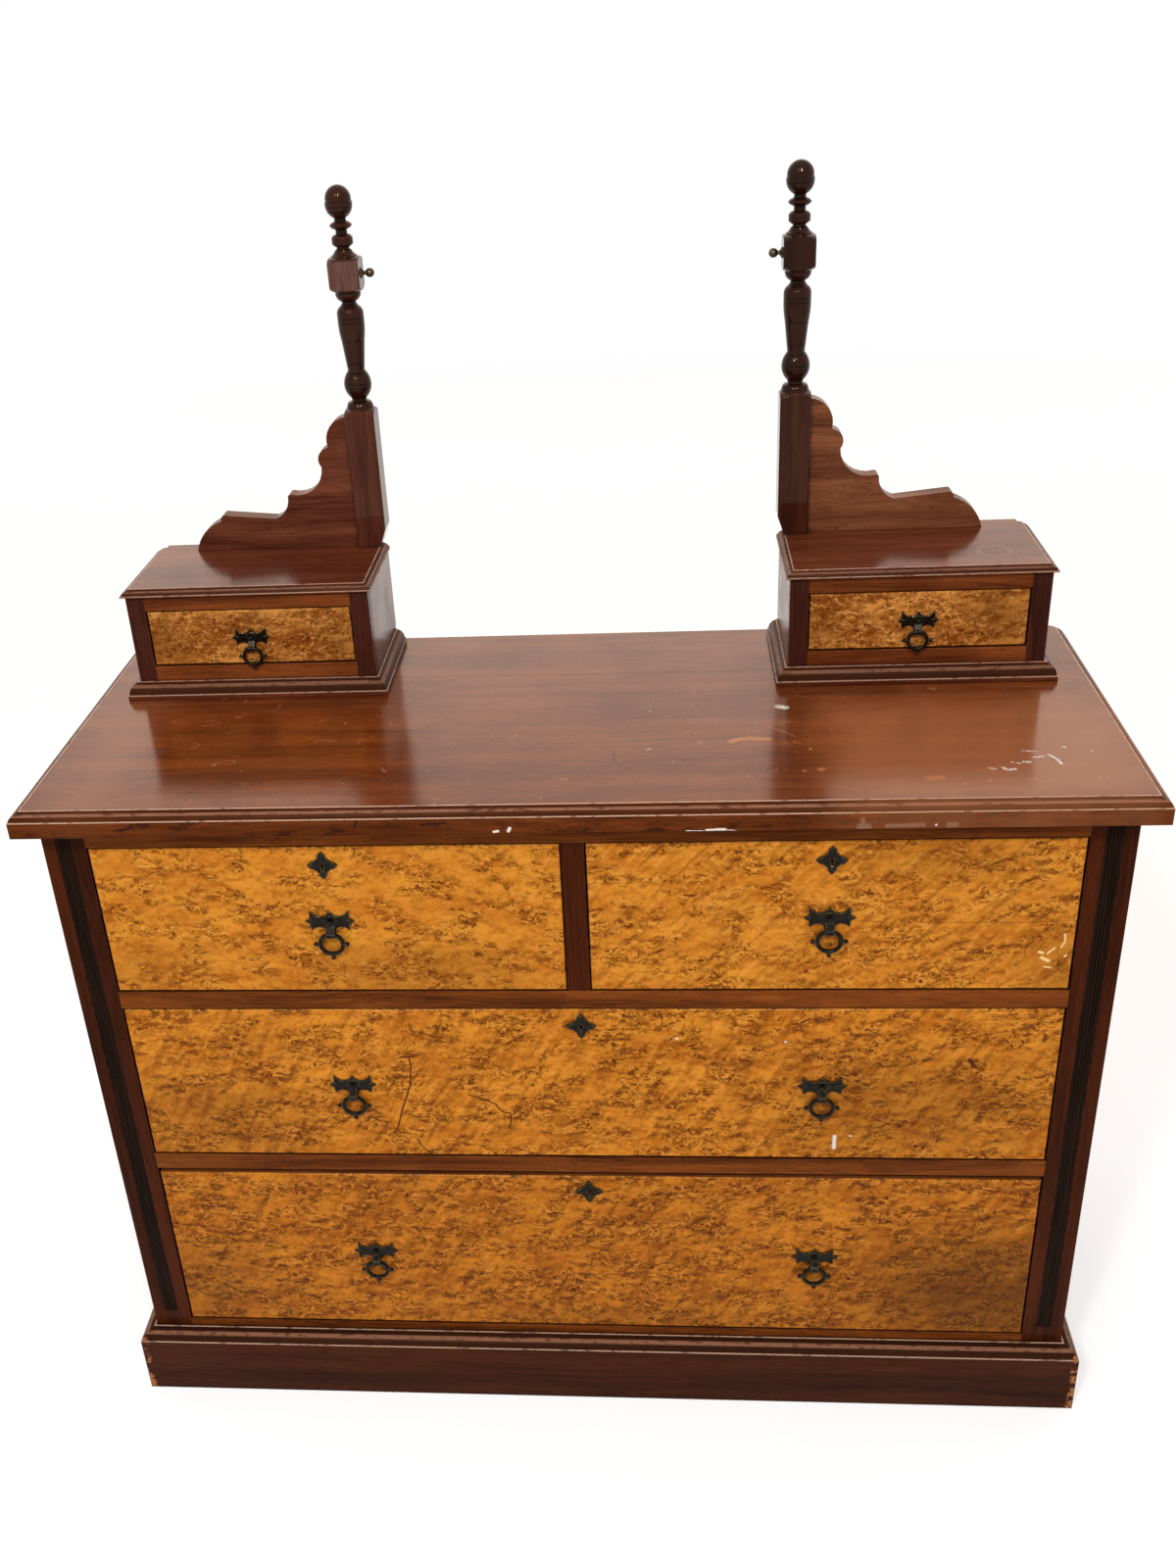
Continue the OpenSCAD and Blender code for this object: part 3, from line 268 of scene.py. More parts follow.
def mahogany(name, axis, seed, dark, light, wear=1.0, gloss=(0.2, 0.34), specular=0.06,
             tint=(1.0, 0.6, 0.4), polish=None, coat_roughness=0.1, marks=(), radius=0.9,
             upright=None):
    """Polished mahogany with its grain along an axis. gloss is the roughness of its smoothest and
    of its dullest patches, and radius that of its arrises in millimetres. marks are laid over it.
    polish is a height and the weight of the clear polish over it. upright is a centre and a
    distance from it in X, past which the grain stands upright, and the two colours there."""
    g = start(name)
    v = grain_space(g, axis, seed)
    dark, light = srgb(*dark), srgb(*light)
    if upright:
        centre, half, dark_there, light_there = upright
        past = g.step(g.abs(g.sub(g.xyz[0], centre)), half - 0.1, half + 0.1)
        turned = g.node("Mix", data_type="VECTOR")
        g.put(turned.inputs[0], past)
        g.put(turned.inputs[4], v)
        g.put(turned.inputs[5], grain_space(g, "Z", seed))
        v = turned.outputs[1]
        dark = g.mix(past, dark, srgb(*dark_there))
        light = g.mix(past, light, srgb(*light_there))
    colour, streak, pore = wood_colour(g, v, dark, light)
    patch = g.lumps(g.point, (90, 90, 90), 3.0, 0.6)
    colour = g.mix(g.step(patch, 0.35, 0.7, 0.0, 0.35), colour, srgb(52, 16, 6))
    soft_normal, arris, crease_shade = edges(g, radius)
    scuff = g.lumps(g.point, (14, 14, 14), 4.0, 0.65)
    # Light arrises: wear, and partly a painted highlight along them
    worn = g.mul(g.mul(arris, g.step(scuff, 0.42, 0.62)), 0.75 * wear)
    colour = g.mix(worn, colour, srgb(158, 98, 62))
    # Painted shade: darker in the corners and creases
    colour = g.mix(g.mul(crease_shade, 0.8), colour, srgb(18, 7, 3))
    rough = g.add(g.step(patch, 0.3, 0.7, *gloss), g.mul(worn, 0.25))
    colour, rough = add_marks(g, marks, colour, rough)
    normal = bump(g, g.add(g.mul(streak, 0.6), pore), 0.12, 0.0003, soft_normal)
    coat = 0.0
    if polish:
        level, weight = polish
        coat = g.mul(g.step(g.xyz[2], level - 0.3, level + 0.3),
                     g.sub(weight, g.mul(worn, weight)))
    return close(g, colour, rough, normal, specular=specular, coat=coat,
                 coat_roughness=coat_roughness, coat_ior=1.4, tint=tint)


def burr(name, seed, dense, base=(200, 116, 28), pale=(226, 146, 46), brown=(126, 62, 12),
         curl=(90, 39, 6), ink=(62, 27, 5), slant=0.5, silk_share=0.25, marks=(),
         core=FRONT + VENEER, size=1.0, dusk=()):
    """Polished burr veneer: golden ground, slanting silk, brown clouds and short curled marks.
    base and pale are the ground, brown the clouds, curl and ink the coarse and the fine marks.
    dense is how much of it the marks cover, slant how far the silk leans over, silk_share how
    strong it is, and size the scale of the figure. Behind the plane core the solid wood of the
    drawer front shows. dusk lists darker areas, each with its centre in X and Z, its half width
    and half height, and its strength."""
    g = start(name)
    x, y, z = g.xyz
    flat = g.combine(g.add(x, 517.0 * seed), 61.0 * seed, z)
    flat = g.vec("SCALE", flat, scale=1 / size)
    curled = g.vec("ADD", flat, g.shake(flat, 17, 9.0))
    curled = g.vec("ADD", curled, g.shake(flat, 4, 2.6))

    def relief(wide, tall, drop):
        """How fast a noise falls towards the lower right: the side of each lump in shade."""
        moved = g.vec("ADD", curled, (0.35 * drop, 0.0, -drop))
        return g.sub(*[g.lumps(v, (wide, 1.0, tall), 1.0, 0.55) for v in (curled, moved)])

    # Slanting silk: long ripples that lean over, with a bright and a shaded side
    lean = g.split(flat)
    across = g.add(lean[0], g.mul(lean[2], -slant))

    def silk_at(moved):
        return g.noise(g.combine(g.mul(g.add(across, moved), 1 / 15), 3.7 * seed,
                                 g.mul(lean[2], 1 / 60)))

    silk = silk_at(0.0)
    ripple = g.sub(silk, silk_at(4.5))
    cloud = g.lumps(curled, (62, 62, 36), 3.0, 0.55)
    cluster = g.noise(g.combine(g.mul(across, 1 / 40), 7.1 + seed, g.mul(lean[2], 1 / 26)),
                      2.0, 0.6)
    crowd = g.step(cluster, 0.45 - 0.12 * dense, 0.6 - 0.1 * dense)
    # Hair lines along the length of the drawer
    hair = g.lumps(flat, (60, 1.0, 1.1), 2.0, 0.7)
    # Pillows of the figure with their soft shade, and the dark curled marks at the foot of them
    lump = relief(17.0, 11.0, 4.6)
    mark = g.mul(g.step(relief(12.0, 6.5, 2.4), 0.07, 0.16), crowd)
    fine = g.mul(g.step(relief(7.0, 4.5, 1.6), 0.1, 0.17), crowd)
    lively = g.step(crowd, 0.0, 1.0, 0.45, 1.0)
    shade = g.mul(g.step(lump, 0.0, 0.17), lively)
    light = g.mul(g.step(lump, 0.0, -0.17), lively)
    # Eyes: small rings in some of the cells
    cells = g.cells(g.vec("SCALE", curled, scale=1 / 11.0))
    ring = g.step(g.abs(g.sub(cells["Distance"], 0.12)), 0.09, 0.03)
    chosen = g.step(g.split(cells["Color"])[0], 0.62, 0.66)
    eye = g.mul(g.mul(ring, chosen), g.step(crowd, 0.0, 1.0, 0.2, 0.9))

    bright = srgb(*[min(255, c + 22) for c in pale])
    colour = g.mix(g.step(cloud, 0.3, 0.7), srgb(*base), srgb(*pale))
    for share, tone in (
            (g.step(silk, 0.46, 0.74, 0.0, 0.6 * silk_share), srgb(*brown)),
            (g.step(ripple, 0.03, 0.24, 0.0, silk_share), srgb(*brown)),
            (g.step(ripple, -0.03, -0.24, 0.0, 0.7 * silk_share), bright),
            (g.mul(crowd, 0.2), srgb(*brown)), (g.mul(shade, 0.72), srgb(*brown)),
            (g.mul(light, 0.5), bright), (g.step(hair, 0.5, 0.72, 0.0, 0.2), srgb(*brown)),
            (g.mul(mark, 0.82), srgb(*curl)), (g.mul(fine, 0.55), srgb(*ink)),
            (g.mul(eye, 0.45), srgb(*ink))):
        colour = g.mix(share, colour, tone)
    for cx, cz, wide, tall, strength in dusk:
        across_area = g.math("DIVIDE", g.sub(x, cx), wide)
        up_area = g.math("DIVIDE", g.sub(z, cz), tall)
        away = g.vec("LENGTH", g.combine(across_area, g.mul(g.sub(cloud, 0.5), 2.4), up_area))
        colour = g.mix(g.mul(g.step(away, 1.15, 0.2), strength), colour,
                       srgb(*[round(c * 0.8) for c in brown]))
    soft_normal, arris, crease_shade = edges(g, 0.8)
    # Light arrises: wear, and partly a painted highlight on the eased edges
    colour = g.mix(g.mul(arris, 0.5), colour, srgb(232, 176, 104))
    # Painted shade: darker in the corners and creases
    colour = g.mix(g.mul(crease_shade, 0.75), colour, srgb(34, 13, 4))
    colour, rough = add_marks(g, marks, colour, g.step(cloud, 0.3, 0.7, 0.2, 0.34))
    solid = wood_colour(g, grain_space(g, "X", seed), srgb(96, 48, 22), srgb(140, 78, 40))[0]
    behind = g.step(y, core, core + 0.4)
    colour = g.mix(behind, colour, solid)
    rough = g.add(rough, g.mul(behind, 0.3))
    normal = bump(g, g.sub(g.mul(silk, 0.8), g.mul(mark, 0.3)), 0.1, 0.0004, soft_normal)
    return close(g, colour, rough, normal, specular=0.09, tint=(1.0, 0.75, 0.45))


def pine(name, axis, seed):
    """Plain sawn pine, a little stained, with its grain along an axis."""
    g = start(name)
    v = grain_space(g, axis, seed)
    colour, streak, _ = wood_colour(g, v, srgb(128, 84, 44), srgb(178, 132, 82), 0.5)
    soft_normal, arris, crease_shade = edges(g, 0.6)
    cloud = g.noise(g.vec("SCALE", g.point, scale=1 / 70), 4.0, 0.6)
    colour = g.mix(g.step(cloud, 0.4, 0.75, 0.0, 0.4), colour, srgb(88, 54, 28))
    colour = g.mix(g.mul(arris, 0.3), colour, srgb(200, 160, 110))
    # Painted shade: darker in the corners and creases
    colour = g.mix(g.mul(crease_shade, 0.7), colour, srgb(44, 26, 14))
    normal = bump(g, streak, 0.25, 0.0004, soft_normal)
    return close(g, colour, g.step(streak, 0.3, 0.7, 0.62, 0.8), normal, specular=0.3)


def ebonised(name):
    """Wood stained black, with brown showing along its streaks and worn arrises."""
    g = start(name)
    v = grain_space(g, "Z", 3.3)
    streak = g.lumps(v, (90, 1.5, 1.5), 3.0, 0.6)
    worn = g.lumps(v, (30, 6, 6), 3.0, 0.6)
    colour = g.mix(g.step(streak, 0.35, 0.7), srgb(20, 11, 7), srgb(44, 24, 15))
    soft_normal, arris, _ = edges(g, 0.5)
    colour = g.mix(g.mul(arris, g.step(worn, 0.5, 0.7, 0.0, 0.5)), colour, srgb(84, 48, 30))
    return close(g, colour, g.step(worn, 0.3, 0.7, 0.2, 0.36), soft_normal, specular=0.05,
                 tint=(1.0, 0.7, 0.5))


def bronze(name, seed, dull=(18, 16, 12)):
    """Dark patinated cast brass with green in its patches and bright worn ridges."""
    g = start(name)
    p = g.vec("ADD", g.point, (37.0 * seed, 11.0, 23.0 * seed))
    patina = g.noise(g.vec("SCALE", p, scale=1 / 5.0), 4.0, 0.65)
    pit = g.noise(g.vec("SCALE", p, scale=1 / 0.9), 2.0, 0.6)
    soft_normal, arris, crease_shade = edges(g, 0.8)
    colour = g.mix(g.step(patina, 0.35, 0.7), srgb(*dull), srgb(*[2 * c for c in dull]))
    colour = g.mix(g.step(patina, 0.6, 0.8, 0.0, 0.4), colour, srgb(42, 54, 46))
    rubbed = g.mul(arris, g.step(pit, 0.4, 0.6, 0.3, 1.0))
    colour = g.mix(rubbed, colour, srgb(206, 172, 116))
    # Painted shade: darker in the corners and creases
    colour = g.mix(g.mul(crease_shade, 0.6), colour, srgb(12, 11, 10))
    rough = g.sub(g.step(patina, 0.3, 0.7, 0.18, 0.34), g.mul(rubbed, 0.06))
    normal = bump(g, pit, 0.25, 0.0003, soft_normal)
    return close(g, colour, rough, normal, metallic=0.85)


def dress(node, material, *values, **named):
    """Gives a node of the model a material of its own, named after it."""
    data = nodes[node].data
    data.materials.clear()
    data.materials.append(material(node, *values, **named))


def lines_of(marks, place):
    """The lines (from, to, radius) of marks on one surface. A mark is a radius and the points
    that it runs through. place gives the three coordinates of a point."""
    out = []
    for radius, *points in marks:
        whole = [place(*point) for point in points]
        out += [(a, b, radius) for a, b in zip(whole, whole[1:] or whole)]
    return out


def on_top(*marks):
    """Marks on the top, through points in X and Y."""
    return lines_of(marks, lambda x, y: (x, y, TOP))


def on_edge(*marks):
    """Marks on the front edge of the top, through points in X and Z."""
    return lines_of(marks, lambda x, z: (x, EDGE, z))


def on_drawers(*marks):
    """Marks on the faces of the drawers, through points in X and Z."""
    return lines_of(marks, lambda x, z: (x, FRONT, z))


# Masks of marks. Each returns a function that builds the mask in a material.
def flecks(lines, wobble, scale, broken=None):
    """Irregular spots along lines: the point is shaken by a fine noise before it is measured."""
    def mask(g):
        out = near_lines(g, g.shaken(g.point, scale, wobble * 2, 3.0), lines)
        if broken is not None:
            chips = g.noise(g.vec("SCALE", g.point, scale=1 / (1.6 * scale)), 2.0)
            out = g.mul(out, g.step(chips, broken, broken + 0.05))
        return out
    return mask


def scratches(lines, strength):
    """Smooth lines of one strength."""
    def mask(g):
        return g.mul(near_lines(g, g.point, lines), strength)
    return mask


def rings(places):
    """Dark lines round a turning, each given as its height and half its width."""
    def mask(g):
        return g.mul(union(g, [g.step(g.abs(g.sub(g.xyz[2], place)), half * 1.3, half * 0.6)
                               for place, half in places]), 0.85)
    return mask


def moulding(centre, half, front, top, wide, high, band=(48, 28, 22), strength=0.7, line_strength=0.85):
    """Marks of a slab's moulded edge: painted shade over the moulding, a painted highlight along
    its round, and worn light lines along the step over it and along the ledge under it. The slab's
    centre and half width in X, its front in Y and its top in Z come first, then the width and
    height of the moulding, the colour and strength of its painted shade, and the strength of the
    lines."""
    def inwards(g):
        beside = g.sub(half, g.abs(g.sub(g.xyz[0], centre)))
        return g.math("MINIMUM", beside, g.sub(g.xyz[1], front))

    def rubbed(g):
        chips = g.lumps(g.point, (12, 12, 2), 3.0, 0.6)
        return g.step(chips, 0.34, 0.48, 0.3 * line_strength, line_strength)

    # Painted shade over the whole moulding
    def dark(g):
        within = g.mul(g.step(inwards(g), wide, wide - 0.4),
                       g.step(g.xyz[2], top - high - 0.3, top - high + 0.1))
        return g.mul(within, strength)

    def step_line(g):
        away = g.abs(g.sub(inwards(g), wide + 0.4))
        return g.mul(g.mul(g.step(away, 1.1, 0.5), g.step(g.xyz[2], top - 0.5, top - 0.2)),
                     rubbed(g))

    def ledge_line(g):
        away = g.abs(g.sub(g.xyz[2], top - high))
        return g.mul(g.mul(g.step(away, 1.0, 0.5), g.step(inwards(g), 1.3, 0.9)), rubbed(g))

    # A painted highlight along the round, broken up in places
    def round_highlight(g):
        away = g.abs(g.sub(inwards(g), 0.5 * wide))
        below = g.step(g.xyz[2], top - 0.5, top - 0.8)
        return g.mul(g.mul(g.step(away, 0.19 * wide, 0.1 * wide, 0.0, 0.7), below), rubbed(g))

    return [(dark, band, 0.0), (round_highlight, ROUND_HIGHLIGHT, 0.1), (step_line, WORN, 0.15),
            (ledge_line, WORN, 0.15)]


def blotches(level, strength):
    """Dark stains under a level."""
    def mask(g):
        cloud = g.lumps(g.point, (34, 34, 11), 4.0, 0.65)
        return g.mul(g.step(cloud, 0.5, 0.66, 0.0, strength),
                     g.step(g.xyz[2], level, level - 0.5))
    return mask


def specks(level, strength):
    """Small light specks over a level."""
    def mask(g):
        cells = g.cells(g.vec("MULTIPLY", g.point, (1 / 17, 1 / 17, 0.0)))
        part = g.split(cells["Color"])
        chosen = g.mul(g.step(part[0], 0.72, 0.74), strength)
        near = g.step(g.sub(cells["Distance"], g.mul(part[1], 0.06)), 0.015, 0.0)
        return g.mul(g.mul(near, chosen), g.step(g.xyz[2], level - 0.5, level - 0.2))
    return mask


def fine_scratches(level, strength):
    """Thin broken scratches over a level."""
    def mask(g):
        line = g.noise(g.vec("MULTIPLY", g.point, (1 / 60, 1 / 36, 0.0)), 1.0)
        there = g.noise(g.vec("MULTIPLY", g.point, (1 / 22, 1 / 22, 0.0)), 2.0, 0.6)
        thin = g.step(g.abs(g.sub(line, 0.5)), 0.006, 0.002)
        part = g.mul(g.step(there, 0.54, 0.6), strength)
        return g.mul(g.mul(thin, part), g.step(g.xyz[2], level - 0.5, level - 0.2))
    return mask


def stain(x, y, radius, width, strength):
    """The ring left on a top by a wet glass."""
    def mask(g):
        p = g.split(g.shaken(g.point, 14, 5.0, 2.0))
        away = g.vec("LENGTH", g.combine(g.sub(p[0], x), g.sub(p[1], y), 0.0))
        return g.mul(g.step(g.abs(g.sub(away, radius)), width, 0.2 * width), strength)
    return mask


def higher(level, strength):
    """Everything over a level."""
    def mask(g):
        return g.step(g.xyz[2], level - 0.4, level + 0.4, 0.0, strength)
    return mask


def faded_and_sheen(low, high, strength):
    """Upright streaks between two levels."""
    def mask(g):
        streaks = g.lumps(g.point, (1.6, 1.6, 40), 2.0, 0.6)
        between = g.mul(g.step(g.xyz[2], low - 1.0, low + 1.0),
                        g.step(g.xyz[2], high + 1.0, high - 1.0))
        return g.mul(between, g.step(streaks, 0.3, 0.6, 0.15, strength))
    return mask


def area(x0, x1, y0, y1, soft, strength):
    """A wide patch with wavering edges, between two values of X and of Y."""
    def mask(g):
        p = g.split(g.shaken(g.point, 60, 1.2 * soft, 2.0))
        out = strength
        for value, low, high in ((p[0], x0, x1), (p[1], y0, y1)):
            out = g.mul(g.step(value, low - soft, low + soft), out)
            out = g.mul(g.step(value, high + soft, high - soft), out)
        return out
    return mask


def under(level, strength):
    """Everything under a level, in streaks along X."""
    def mask(g):
        streaks = g.lumps(g.point, (60, 5, 5), 3.0, 0.6)
        return g.mul(g.step(g.xyz[2], level + 0.3, level - 0.3),
                     g.step(streaks, 0.35, 0.6, 0.3, strength))
    return mask


def seam(place, half):
    """A thin line along X, at a place in Y."""
    def mask(g):
        return g.mul(g.step(g.abs(g.sub(g.xyz[1], place)), half * 1.3, half * 0.5), 0.75)
    return mask


# Woods of the chest, the boxes and the posts, with their dark and light grain
TOP_WOOD = dict(dark=(92, 39, 12), light=(146, 72, 28), polish=(TOP - 0.8, 0.85),
                coat_roughness=0.11)
DARK = dict(dark=(34, 11, 4), light=(90, 38, 13))
RAIL = dict(dark=(62, 25, 6), light=(156, 82, 30))
PLINTH_POLISH = (PLINTH_TOP - 0.8, 0.6)
FRAME = dict(dark=(74, 31, 12), light=(152, 80, 38), radius=1.5, wear=1.3)
STILE_DARK, STILE_LIGHT = (42, 18, 12), (84, 44, 34)
BOX = dict(dark=(72, 28, 14), light=(132, 66, 42))
BOX_CASE = dict(dark=(70, 28, 16), light=(120, 62, 44), specular=0.3, tint=(1.0, 0.8, 0.65))
BRACKETS = {"left": dict(dark=(68, 28, 16), light=(134, 74, 52), specular=0.1),
            "right": dict(dark=(72, 34, 20), light=(156, 94, 62), specular=0.1)}
POST = dict(gloss=(0.03, 0.07), specular=0.18, tint=(1.0, 0.72, 0.55))
POSTS = {"left": dict(POST, dark=(50, 20, 12), light=(106, 54, 36)),
         "right": dict(POST, dark=(34, 12, 7), light=(80, 38, 26))}

# The top: marks of both boards, with the painted shade and highlight of the moulding, then the
# painted reflection, paint, chips, scratches and stains of the front one
UNDER_MOULD = TOP - TOP_MOULD[1]
both_boards = [
    (seam(TOP_JOINT, 0.5), (30, 12, 6), 0.2),
    (under(UNDER_MOULD, 0.6), (62, 28, 10), 0.0),
    (blotches(UNDER_MOULD, 0.7), (28, 13, 7), 0.1),
    # painted shade and highlight of the moulding
    *moulding(0.0, TOP_HALF, EDGE, TOP, *TOP_MOULD, band=(46, 23, 14)),
    (specks(TOP, 0.55), (196, 138, 104), 0.15)]
front_board = [
    (fine_scratches(TOP, 0.4), (186, 128, 94), 0.15),
    # painted reflection: lighter patches at the right and far left, where the top shows a haze of
    # light, also a little duller
    (area(245.0, 532.0, -203.0, 14.0, 46.0, 0.58), (176, 108, 70), 0.06),
    (area(-500.0, -440.0, -190.0, 60.0, 30.0, 0.3), (160, 96, 64), 0.05),
    (flecks(on_top(
        (3.6, (204.5, 1.0), (211.0, -2.0)), (0.9, (386.0, -139.0), (392.0, -141.0)),
        (1.5, (399.0, -138.5), (401.2, -143.0), (409.5, -142.0)),
        (1.6, (419.9, -128.3), (425.1, -128.5)),
        (1.3, (445.3, -114.5), (450.0, -121.3), (452.7, -132.8)),
        (1.0, (461.9, -99.2), (464.0, -100.2)), (1.1, (486.6, -107.7)), (1.0, (74.3, -3.4)),
        (0.8, (70.1, -90.1), (74.0, -89.0)), (0.9, (227.7, -94.4))),
        1.9, 1.3, broken=0.4), PAINT, 0.4),
    (flecks(on_top(
        (1.0, (422.0, -105.3), (436.4, -107.5)), (1.2, (430.0, -119.0), (441.0, -118.0)),
        (0.9, (409.0, -128.0), (416.0, -131.0))), 2.0, 1.3, broken=0.46), PAINT, 0.4),
    (flecks(on_top(
        (3.6, (152.8, -75.9), (161.1, -71.0), (173.0, -69.8), (188.5, -72.0)),
        (4.0, (330.0, -157.0), (339.9, -156.1)), (3.6, (233.8, -136.4)),
        (2.0, (218.0, -139.0)), (2.6, (382.4, -163.0)), (2.0, (359.7, -167.7))),
        1.4, 5.0), (178, 106, 58), 0.15),
    (scratches(on_top(
        (0.5, (188.5, -44.1), (201.9, -52.9), (215.7, -67.8)),
        (0.4, (190.7, -41.5), (213.4, -33.3))), 0.7), (186, 128, 88), 0.2),
    (flecks(on_top(
        (1.3, (37.6, -88.9), (40.1, -114.7), (48.0, -127.0), (57.0, -131.9)),
        (1.8, (104.4, -113.6), (116.2, -109.0), (127.9, -109.4)),
        (1.2, (60.0, -20.0), (92.0, -12.0))), 2.6, 4.0, broken=0.45), (70, 30, 14), 0.1),
    (flecks(on_edge(
        (0.4, (106.0, 763.6), (122.0, 763.2)), (1.2, (124.5, 763.6), (141.4, 764.6)),
        (0.4, (141.4, 764.0), (151.0, 763.2)), (1.2, (-69.7, 764.9), (-66.0, 765.4)),
        (1.5, (-56.5, 765.6), (-55.0, 768.4)), (1.0, (328.8, 766.4))), 0.8, 2.0), PAINT, 0.4),
    (flecks(on_edge(
        (2.0, (264.0, 773.0), (264.0, 769.0)), (3.0, (261.8, 765.5), (269.0, 765.4)),
        (2.0, (285.8, 766.0), (318.0, 766.6)), (2.6, (340.0, 766.4), (346.0, 766.4))),
        0.9, 3.0), (142, 98, 74), 0.2),
    (flecks(on_edge(
        (1.1, (-137.0, 773.2), (-114.4, 775.0)),
        (0.9, (-423.4, 770.8), (-414.0, 774.0), (-411.0, 778.0)),
        (1.0, (-200.0, 772.0), (-197.0, 778.0))), 1.2, 3.0), (44, 22, 16), 0.1)]
dress("top_front_board", mahogany, "X", 1.3, marks=both_boards + front_board, **TOP_WOOD)
dress("top_rear_board", mahogany, "X", 2.3, marks=both_boards, **TOP_WOOD)

# The carcass and the plinth
for seed, node in enumerate(["side_left", "side_right"]):
    dress(node, mahogany, "Z", 5.0 + seed, **DARK)
dress("stiles", mahogany, "Z", 7.2, **DARK)
for seed, node in enumerate(["top_rails", "upper_rail", "lower_rail", "bottom_rail"]):
    dress(node, mahogany, "X", 8.1 + seed, **RAIL)
dress("reeded_bands", ebonised)
corner_chips = flecks([((x, CORNER[1], low), (x, CORNER[1], high), 3.4)
                       for x in (-CORNER[0], CORNER[0])
                       for low, high in ((3.0, 30.0), (44.0, 84.0))], 3.0, 5.0, broken=0.44)
# The plinth's moulding carries painted shade and a painted highlight
plinth_edge = moulding(0.0, PLINTH_HALF, PLINTH_FRONT, PLINTH_TOP, *PLINTH_MOULD,
                       band=(50, 26, 17))
dress("plinth_front", mahogany, "X", 13.4, dark=(34, 12, 4), light=(84, 39, 16), wear=1.25,
      polish=PLINTH_POLISH, marks=plinth_edge + [(corner_chips, CHIP, 0.3)])
dress("plinth_returns", mahogany, "Y", 14.4, polish=PLINTH_POLISH, marks=plinth_edge, **DARK)
for seed, (node, axis) in enumerate([("dustboards", "X"), ("drawer_runners", "Y"),
                                     ("bottom_board", "X"), ("back_boards", "Z"),
                                     ("glue_blocks", "X")]):
    dress(node, pine, axis, 40.0 + seed)

# The boxes with their brackets and posts
STAINS = {
    "left": [(stain(-303.0, 131.0, 30.0, 2.4, 0.3), (60, 24, 12), 0.05)],
    "right": [(stain(429.0, 104.0, 16.0, 3.0, 0.35), (168, 112, 84), 0.12),
              (stain(429.0, 104.0, 9.0, 4.0, 0.4), (66, 28, 16), 0.05)]}
# Grooves of the turning: how far over the shank, and half the width
turned_rings = rings([(SHANK + up, half) for up, half in (
    (9.5, 1.4), (23.0, 0.9), (27.0, 0.9), (38.5, 1.2), (48.0, 0.8), (71.0, 0.8), (90.5, 0.8),
    (94.5, 0.8), (108.5, 1.8), (111.5, 1.0), (164.4, 1.6), (180.0, 2.2), (192.0, 1.8),
    (200.0, 0.8), (204.0, 0.8), (209.2, 1.0))])
BLOCK = (SHANK + 124.0, SHANK + 153.0)  # the square block in the left post, faded and lightened as a painted reflection
for side, sign in (("left", -1), ("right", 1)):
    middle = sign * BOX_X
    # The mouldings of the box's base and top carry painted shade and a painted highlight
    base_edge = moulding(middle, BASE_HALF, BASE_FRONT, BOX_BASE, *BASE_MOULD,
                         band=(48, 25, 16), strength=0.8, line_strength=0.6)
    top_edge = moulding(middle, LID_HALF, LID_FRONT, BOX_TOP, *LID_MOULD, line_strength=0.6)
    for seed, (part, values) in enumerate([
            ("box_base", dict(BOX, polish=(BOX_BASE - 1.0, 0.5), marks=base_edge)),
            ("box_top", dict(BOX, polish=(BOX_TOP - 0.8, 0.55), marks=top_edge + STAINS[side])),
            ("box_case", BOX_CASE), ("bracket", BRACKETS[side])]):
        dress(f"{part}_{side}", mahogany, "X", 20.0 + seed + 0.5 * sign, **values)
    marks = [(higher(SHANK, 0.7), (22, 7, 3), 0.0), (turned_rings, (12, 5, 3), 0.1)]
    if side == "left":
        # Faded streaks on the block, lightened also as a painted reflection
        marks.append((faded_and_sheen(*BLOCK, 0.5), (136, 98, 86), 0.2))
    dress("post_" + side, mahogany, "Z", 27.0 + sign, marks=marks, **POSTS[side])
    dress("box_frame_" + side, mahogany, "X", 30.0 + sign,
          upright=(middle, BOX_OPEN, STILE_DARK, STILE_LIGHT), **FRAME)
dress("mirror_pivots", bronze, 9.0, dull=(58, 50, 38))

# The drawers: burr fronts, pine linings, brass handles and locks
middle_marks = [
    (scratches(on_drawers(
        (1.2, (-188.1, 482.6), (-174.9, 483.0)),
        (0.9, (-179.2, 481.0), (-178.3, 470.1), (-181.1, 447.9), (-185.5, 432.9),
         (-192.5, 414.0), (-198.3, 393.0), (-203.1, 382.3), (-205.7, 381.7)),
        (0.8, (-120.5, 433.3), (-109.0, 428.7), (-93.4, 421.3)),
        (0.9, (-93.4, 421.3), (-90.1, 414.7), (-83.8, 409.5), (-78.7, 409.2), (-77.7, 401.6),
         (-80.7, 388.2)),
        (0.8, (-180.5, 373.8), (-176.9, 364.1), (-170.1, 355.4), (-161.2, 353.5))),
        0.95), SCRATCH, 0.1),
    (flecks(on_drawers(
        (1.8, (256.9, 380.5), (256.6, 365.0)), (1.4, (95.8, 506.7)), (1.2, (203.9, 502.7)),
        (0.9, (272.0, 381.2), (274.0, 381.0))), 0.6, 2.0), PAINT, 0.4),
    (flecks(on_drawers(
        (2.4, (386.0, 480.0), (391.0, 472.0)), (1.0, (30.0, 479.5), (42.0, 480.5))),
        2.0, 2.6), SCRATCH, 0.1)]
